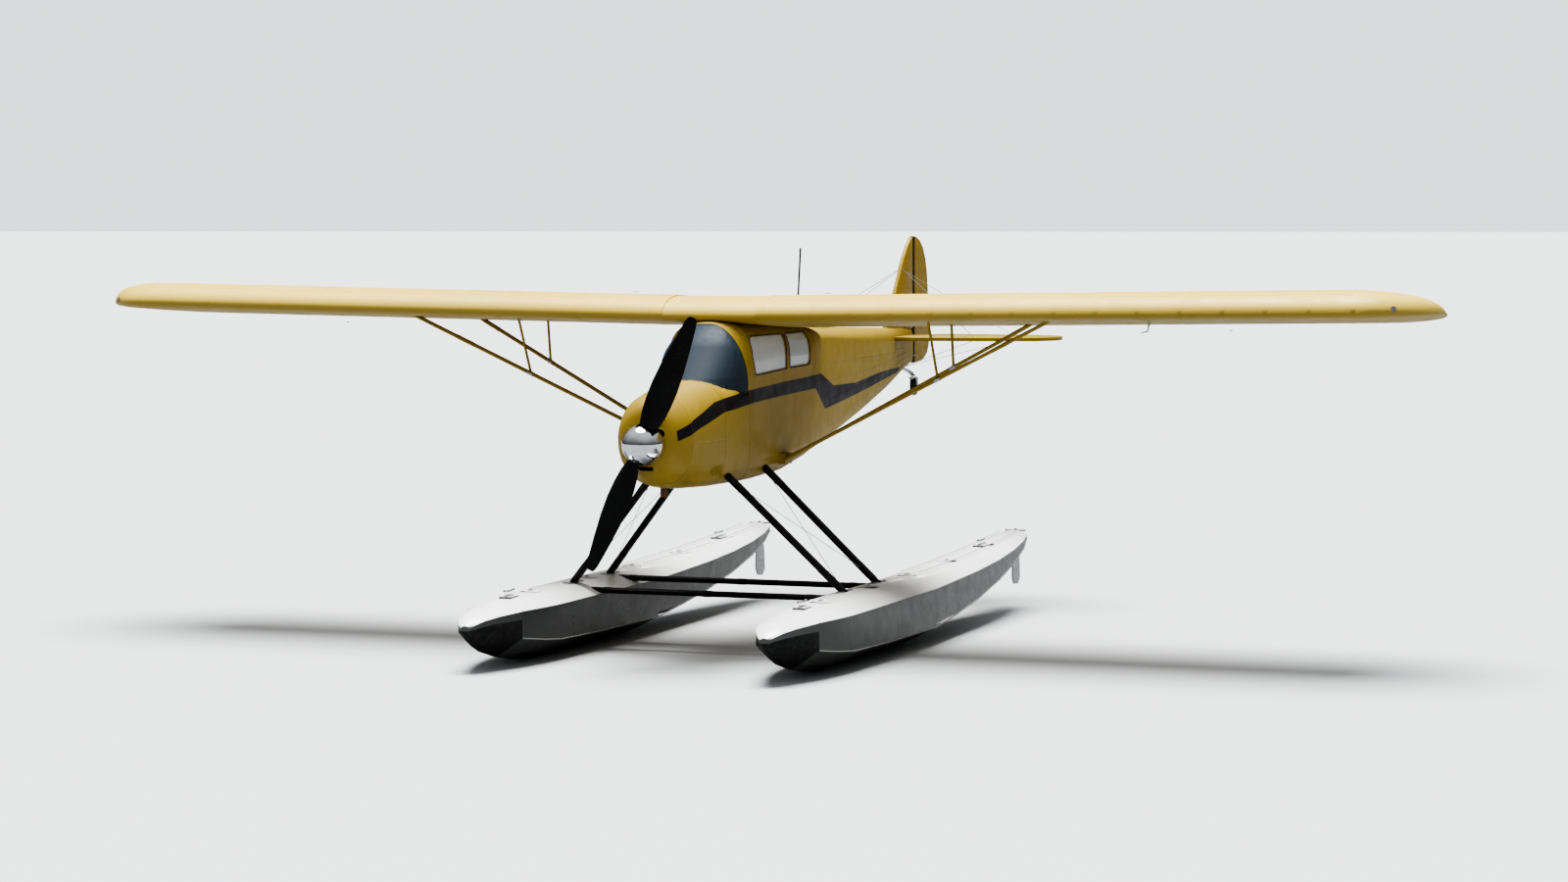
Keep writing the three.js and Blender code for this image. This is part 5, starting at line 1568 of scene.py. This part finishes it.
class FLOATPLANE_OT_chairs(PieceOperator, bpy.types.Operator):
    """Padded cushions with sewn channels, and the lap belts"""

    bl_idname = "floatplane.chairs"
    bl_label = "Upholster the chairs"

    def build(self):
        for name, front, board in CHAIRS:
            middle = at(0, front, board)
            lean = math.atan2(0.068, 0.400)
            seat = self.cushion((0.424, 0.350, 0.070), middle + Vector((0, 0.185, 0.0500)), 0.0, 0.020)
            back = self.cushion((0.424, 0.058, 0.400), middle + Vector((0, 0.4180, 0.3050)), -lean, 0.012)
            self.channels(seat, Vector((0, 0, 1)))
            self.channels(back, Vector((0, -1, 0)))
            pads = finish_piece(merge([seat, back]), f"cushions_{name}", "airframe", "cloth", 60)
            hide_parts(f"seat_cushion_{name}")
            self.belt(name, middle, pads)

    def cushion(self, size, place, lean, cap):
        """A cloth bag blown up from a slightly smaller block, and no wider than its space."""
        pad = block(tuple(s - cap * 0.8 for s in size), (0, 0, 0), 0.016)
        modify(pad, "REMESH", mode="VOXEL", voxel_size=0.012)
        start = [v.co.copy() for v in pad.data.vertices]
        self.inflate(pad)
        half = Vector(size) / 2
        for vertex, rest in zip(pad.data.vertices, start):
            move = vertex.co - rest
            if move.length > cap:
                vertex.co = rest + move * (cap / move.length)
            vertex.co = Vector([max(-h, min(h, c)) for c, h in zip(vertex.co, half)])
        modify(pad, "SUBSURF", levels=1, render_levels=1)
        pad.rotation_euler = (lean, 0, 0)
        pad.location = place
        return settle(pad)

    def inflate(self, pad):
        activate(pad)
        bpy.ops.object.modifier_add(type="CLOTH")
        cloth_settings = pad.modifiers[-1].settings
        cloth_settings.use_pressure = True
        cloth_settings.uniform_pressure_force = 4
        cloth_settings.effector_weights.gravity = 0
        for step in range(1, 21):
            bpy.context.scene.frame_set(step)
        bpy.ops.object.modifier_apply(modifier=pad.modifiers[-1].name)
        bpy.context.scene.frame_set(1)

    def channels(self, pad, face):
        """Lines of stitching pressed into the face a person rests against."""
        for vertex in pad.data.vertices:
            depth = 0.0
            for line in (-0.105, 0.0, 0.105):
                depth += 0.0055 * math.exp(-((vertex.co.x - line) / 0.008) ** 2)
            towards = vertex.normal.dot(face)
            if towards > 0.3:
                vertex.co -= face * depth

    def belt(self, name, middle, pads):
        mesh = pads.data
        tree = BVHTree.FromPolygons([v.co for v in mesh.vertices], [tuple(p.vertices) for p in mesh.polygons])
        points = []
        for x in steps(-0.180, 0.180, 17):
            spot, _ = meets(tree, middle + Vector((x, 0.27, 0.20)), (0, 0, -1))
            points.append(spot + Vector((0, 0, 0.0015)))
        ends = [middle + Vector((s * 0.221, 0.30, 0.016)) for s in (-1, 1)]
        rise = Vector((0.0, -0.01, 0.03))
        points = [ends[0], ends[0] + rise, *points, ends[1] + rise, ends[1]]
        web = strap(points, (0, 1, 0), 0.045, 0.0022)
        finish_piece(web, f"lap_belt_{name}", "airframe", "webbing", 50)
        place = points[9] + Vector((0, 0, 0.006))
        buckle = merge([
            block((0.062, 0.050, 0.005), place, 0.002),
            block((0.030, 0.040, 0.009), place + Vector((0.012, 0, 0.004)), 0.003),
        ])
        finish_piece(buckle, f"belt_buckle_{name}", "airframe", "steel")


# Distances out of the tailplane's ribs, the brace wires' distance out and station on the
# tailplane with their station on the fin, and the rear body's station, bottom and top
TAIL_RIBS = (0.30, 0.62, 0.94, 1.24)
TAIL_BRACES = ((0.98, 4.50, 4.40), (0.72, 4.18, 4.42))
FIN_BRACE_HEIGHT = 2.80
REAR_BODY = [
    (1.75, 1.468, 2.290), (2.40, 1.576, 2.256), (3.10, 1.692, 2.228),
    (3.80, 1.825, 2.198), (4.40, 1.965, 2.175), (4.66, 2.005, 2.165),
]


class FLOATPLANE_OT_tail_fittings(PieceOperator, bpy.types.Operator):
    """Brace wires, tapes, horns, stringers and tailwheel hub"""

    bl_idname = "floatplane.tail_fittings"
    bl_label = "Fit the tail"

    def build(self):
        self.brace()
        self.tail_tapes()
        self.stringers()
        self.wheel()
        self.rudder_fittings()

    def brace(self):
        ends = []
        for sign in SIDES.values():
            for out, station, fin_station in TAIL_BRACES:
                top = at(sign * 0.0165, fin_station, FIN_BRACE_HEIGHT)
                ends.append((at(sign * out, station, 2.243), top))
                ends.append((at(sign * out, station, 2.207), at(sign * 0.045, 4.36, 1.975)))
        wires("tail_brace_wires", "airframe", ends)
        skins = {name: surface_of(name) for name in ("stabiliser_left", "stabiliser_right", "fin")}
        bolts = []
        for side, sign in SIDES.items():
            for out, station, _ in TAIL_BRACES:
                for below in (-1, 1):
                    plane = skins[f"stabiliser_{side}"]
                    bolts.append(seen_from(plane, at(sign * out, station, 2.225), (0, 0, below)))
            bolts.append(seen_from(skins["fin"], at(0, 4.41, FIN_BRACE_HEIGHT), (-sign, 0, 0)))
        copies(bolt(0.007), bolts, "tail_brace_bolts", "airframe", "steel", "steel")

    def tail_tapes(self):
        width, lift = setting("sizes", "tape_width"), setting("sizes", "tape_lift")
        for side, sign in SIDES.items():
            bands = [band(f"stabiliser_{side}", "X", sign * x, width, lift) for x in TAIL_RIBS]
            tapes(f"stabiliser_tapes_{side}", "airframe", "tail_fabric", bands)
        ribs = [sign * x for x in TAIL_RIBS for sign in (1, -1)]
        bands = [band("elevator", "X", x, width, lift, self.aft) for x in ribs]
        tapes("elevator_tapes", "elevator", "tail_fabric", bands)
        bands = [band("fin", "Z", z, width, lift) for z in (2.42, 2.62, 2.82)]
        tapes("fin_tapes", "airframe", "fin_fabric", bands)
        bands = [band("rudder", "Z", z, width, lift, self.behind_post) for z in (2.12, 2.30, 2.62, 2.78)]
        tapes("rudder_tapes", "rudder", "fin_fabric", bands)

    def aft(self, centre, normal):
        return centre.y - LEADING_EDGE > 4.60

    def behind_post(self, centre, normal):
        return centre.y - LEADING_EDGE > 4.74 and normal.y < 0.5

    def stringers(self):
        """Battens under the fabric of the rear body, seen as soft ridges."""
        skin = surface_of("fuselage_tail")
        lines = []
        for sign in SIDES.values():
            for share in (0.22, 0.42, 0.62, 0.80):
                points = []
                for station in steps(1.78, 4.45, 14):
                    low, high = between(REAR_BODY, station)
                    row = at(sign * 0.2, station, low + (high - low) * share)
                    spot, normal = seen_from(skin, row, (-sign, 0, 0))
                    points.append(spot - normal * 0.0028)
                lines.append(drawn(points, 0.005, False, 2))
        finish_piece(merge(lines), "rear_body_stringers", "airframe", "fabric")

    def wheel(self):
        middle = at(0, 4.762, 1.786)
        discs = []
        for sign in (-1, 1):
            profile = [
                (0.050, 0.0125), (0.050, 0.0150), (0.044, 0.0165), (0.030, 0.0155), (0.018, 0.0170),
                (0.014, 0.0185),
            ]
            discs.append(turned(profile, middle, (sign, 0, 0), 26))
        finish_piece(merge(discs), "tail_wheel_hub", "tail_wheel", "grey")
        bolts = []
        for sign in (-1, 1):
            for angle in range(0, 360, 72):
                turn = math.radians(angle)
                spot = middle + Vector((sign * 0.0160, math.cos(turn) * 0.036, math.sin(turn) * 0.036))
                bolts.append((spot, Vector((sign, 0, 0))))
        copies(bolt(0.003), bolts, "tail_wheel_bolts", "tail_wheel", "steel", "steel")

    def rudder_fittings(self):
        """The rudder's horn: two level plates, one towards each side."""
        outline = [(-0.022, 0.0), (0.022, 0.0), (0.010, 0.060), (-0.010, 0.060)]
        plates = [sheet_metal(outline, 0.004, at(sign * 0.015, 4.745, 2.06)) for sign in (-1, 1)]
        finish_piece(merge(plates), "rudder_horn", "rudder", "steel")


# The camera's yaw, pitch and roll in degrees, the photograph's own lens in pixels, the middle
# of the aeroplane in the photograph and the middle of the photograph
CAMERA_TURNS = (21.399, 2.089, -0.136)
FOCAL_LENGTH = 1503.24
PLANE_MIDDLE = (817, 487)
PHOTO_MIDDLE = (800, 450)


class FLOATPLANE_OT_stage(PieceOperator, bpy.types.Operator):
    """The floor, the soft lights and the camera"""

    bl_idname = "floatplane.stage"
    bl_label = "Set the stage"

    def build(self):
        deselect()
        bpy.ops.mesh.primitive_plane_add(size=900, location=(0, 0, -0.0005))
        floor = settle(bpy.context.object)
        floor.name = "studio_floor"
        finish = Finish("pale_floor", (0.23, 0.235, 0.24), 0.85)
        finish.paint((0.21, 0.215, 0.22), finish.ramp(finish.noise(0.08, 3), 0.4, 0.7, 0.0, 0.3))
        # The floor looks pale to the camera and sends less light up under the wings
        finish.paint((0.60, 0.61, 0.62), finish.add("ShaderNodeLightPath").outputs["Is Camera Ray"])
        floor.data.materials.append(finish.done())
        bpy.context.scene.view_settings.look = "AgX - High Contrast"
        self.light()
        self.camera()

    def light(self):
        world = bpy.data.worlds.new("studio")
        bpy.context.scene.world = world
        world.use_nodes = True
        nodes, links = world.node_tree.nodes, world.node_tree.links
        dome = nodes["Background"]
        dome.inputs["Color"].default_value = (0.90, 0.93, 0.97, 1)
        # The dome is bright overhead and falls off towards the horizon, as a soft ceiling does
        ways = nodes.new("ShaderNodeTexCoord")
        height = nodes.new("ShaderNodeSeparateXYZ")
        fall = nodes.new("ShaderNodeMapRange")
        for socket, number in zip(RANGE_SOCKETS, (0.05, 0.8, 0.25, 1.6)):
            fall.inputs[socket].default_value = number
        strength = nodes.new("ShaderNodeMath")
        strength.operation = "MULTIPLY"
        strength.inputs[1].default_value = setting("stage", "dome")
        links.new(ways.outputs["Generated"], height.inputs[0])
        links.new(height.outputs[2], fall.inputs["Value"])
        links.new(fall.outputs[0], strength.inputs[0])
        links.new(strength.outputs[0], dome.inputs["Strength"])
        backdrop = nodes.new("ShaderNodeBackground")
        backdrop.inputs["Color"].default_value = (0.80, 0.82, 0.84, 1)
        backdrop.inputs["Strength"].default_value = 1.25
        seen = nodes.new("ShaderNodeLightPath")
        mix = nodes.new("ShaderNodeMixShader")
        links.new(seen.outputs["Is Camera Ray"], mix.inputs["Fac"])
        links.new(dome.outputs[0], mix.inputs[1])
        links.new(backdrop.outputs[0], mix.inputs[2])
        links.new(mix.outputs[0], nodes["World Output"].inputs["Surface"])
        deselect()
        bpy.ops.object.light_add(type="SUN", location=(0, 0, 30))
        sun = bpy.context.object
        sun.name = "key_light"
        sun.data.energy = setting("stage", "sun")
        sun.data.angle = math.radians(38)
        towards = Vector((0.10, -0.16, -1.0))
        sun.rotation_euler = towards.to_track_quat("-Z", "Y").to_euler()

    def camera(self):
        deselect()
        place = Vector(setting("stage", "camera"))
        bpy.ops.object.camera_add(location=place)
        camera = bpy.context.object
        camera.name = "camera"
        camera.data.lens = setting("stage", "lens")
        camera.data.sensor_width = 36
        camera.data.clip_end = 2000
        yaw, pitch, roll = (math.radians(angle) for angle in CAMERA_TURNS)
        ahead = Vector((-math.sin(yaw) * math.cos(pitch), math.cos(yaw) * math.cos(pitch), -math.sin(pitch)))
        level = Vector((math.cos(yaw), math.sin(yaw), 0))
        over = level.cross(ahead)
        right = level * math.cos(roll) + over * math.sin(roll)
        up = over * math.cos(roll) - level * math.sin(roll)
        across, down = ((p - m) / FOCAL_LENGTH for p, m in zip(PLANE_MIDDLE, PHOTO_MIDDLE))
        aim = ahead + right * across - up * down
        aim.normalize()
        side = aim.cross(up).normalized()
        top = side.cross(aim)
        turn = Matrix((side, top, -aim)).transposed()
        camera.rotation_mode = "QUATERNION"
        camera.rotation_quaternion = turn.to_quaternion()
        bpy.context.scene.camera = camera


OPERATORS = [
    FLOATPLANE_OT_stage,
    FLOATPLANE_OT_finish_nodes,
    FLOATPLANE_OT_wing_tapes,
    FLOATPLANE_OT_wing_fittings,
    FLOATPLANE_OT_strut_fittings,
    FLOATPLANE_OT_float_fittings,
    FLOATPLANE_OT_cowl_fittings,
    FLOATPLANE_OT_window_trim,
    FLOATPLANE_OT_cabin,
    FLOATPLANE_OT_chairs,
    FLOATPLANE_OT_tail_fittings,
]


class FLOATPLANE_PT_sidebar(bpy.types.Panel):
    """Settings and steps of the floatplane"""

    bl_idname = "FLOATPLANE_PT_sidebar"
    bl_label = "Floatplane"
    bl_space_type = "VIEW_3D"
    bl_region_type = "UI"
    bl_category = "Floatplane"

    def draw(self, context):
        layout = self.layout
        for group, kind in SETTINGS.items():
            settings = getattr(context.scene, f"floatplane_{group}")
            box = layout.box()
            for name in kind.__annotations__:
                box.prop(settings, name)
        for operator in OPERATORS:
            layout.operator(operator.bl_idname)


CLASSES = [*SETTINGS.values(), *OPERATORS, FLOATPLANE_PT_sidebar]


def register():
    for kind in CLASSES:
        bpy.utils.register_class(kind)
    for group, kind in SETTINGS.items():
        setattr(bpy.types.Scene, f"floatplane_{group}", bpy.props.PointerProperty(type=kind))


def unregister():
    for group in SETTINGS:
        delattr(bpy.types.Scene, f"floatplane_{group}")
    for kind in reversed(CLASSES):
        bpy.utils.unregister_class(kind)


def main():
    register()
    for operator in OPERATORS:
        family, name = operator.bl_idname.split(".")
        getattr(getattr(bpy.ops, family), name)()


if __name__ == "__main__":
    main()
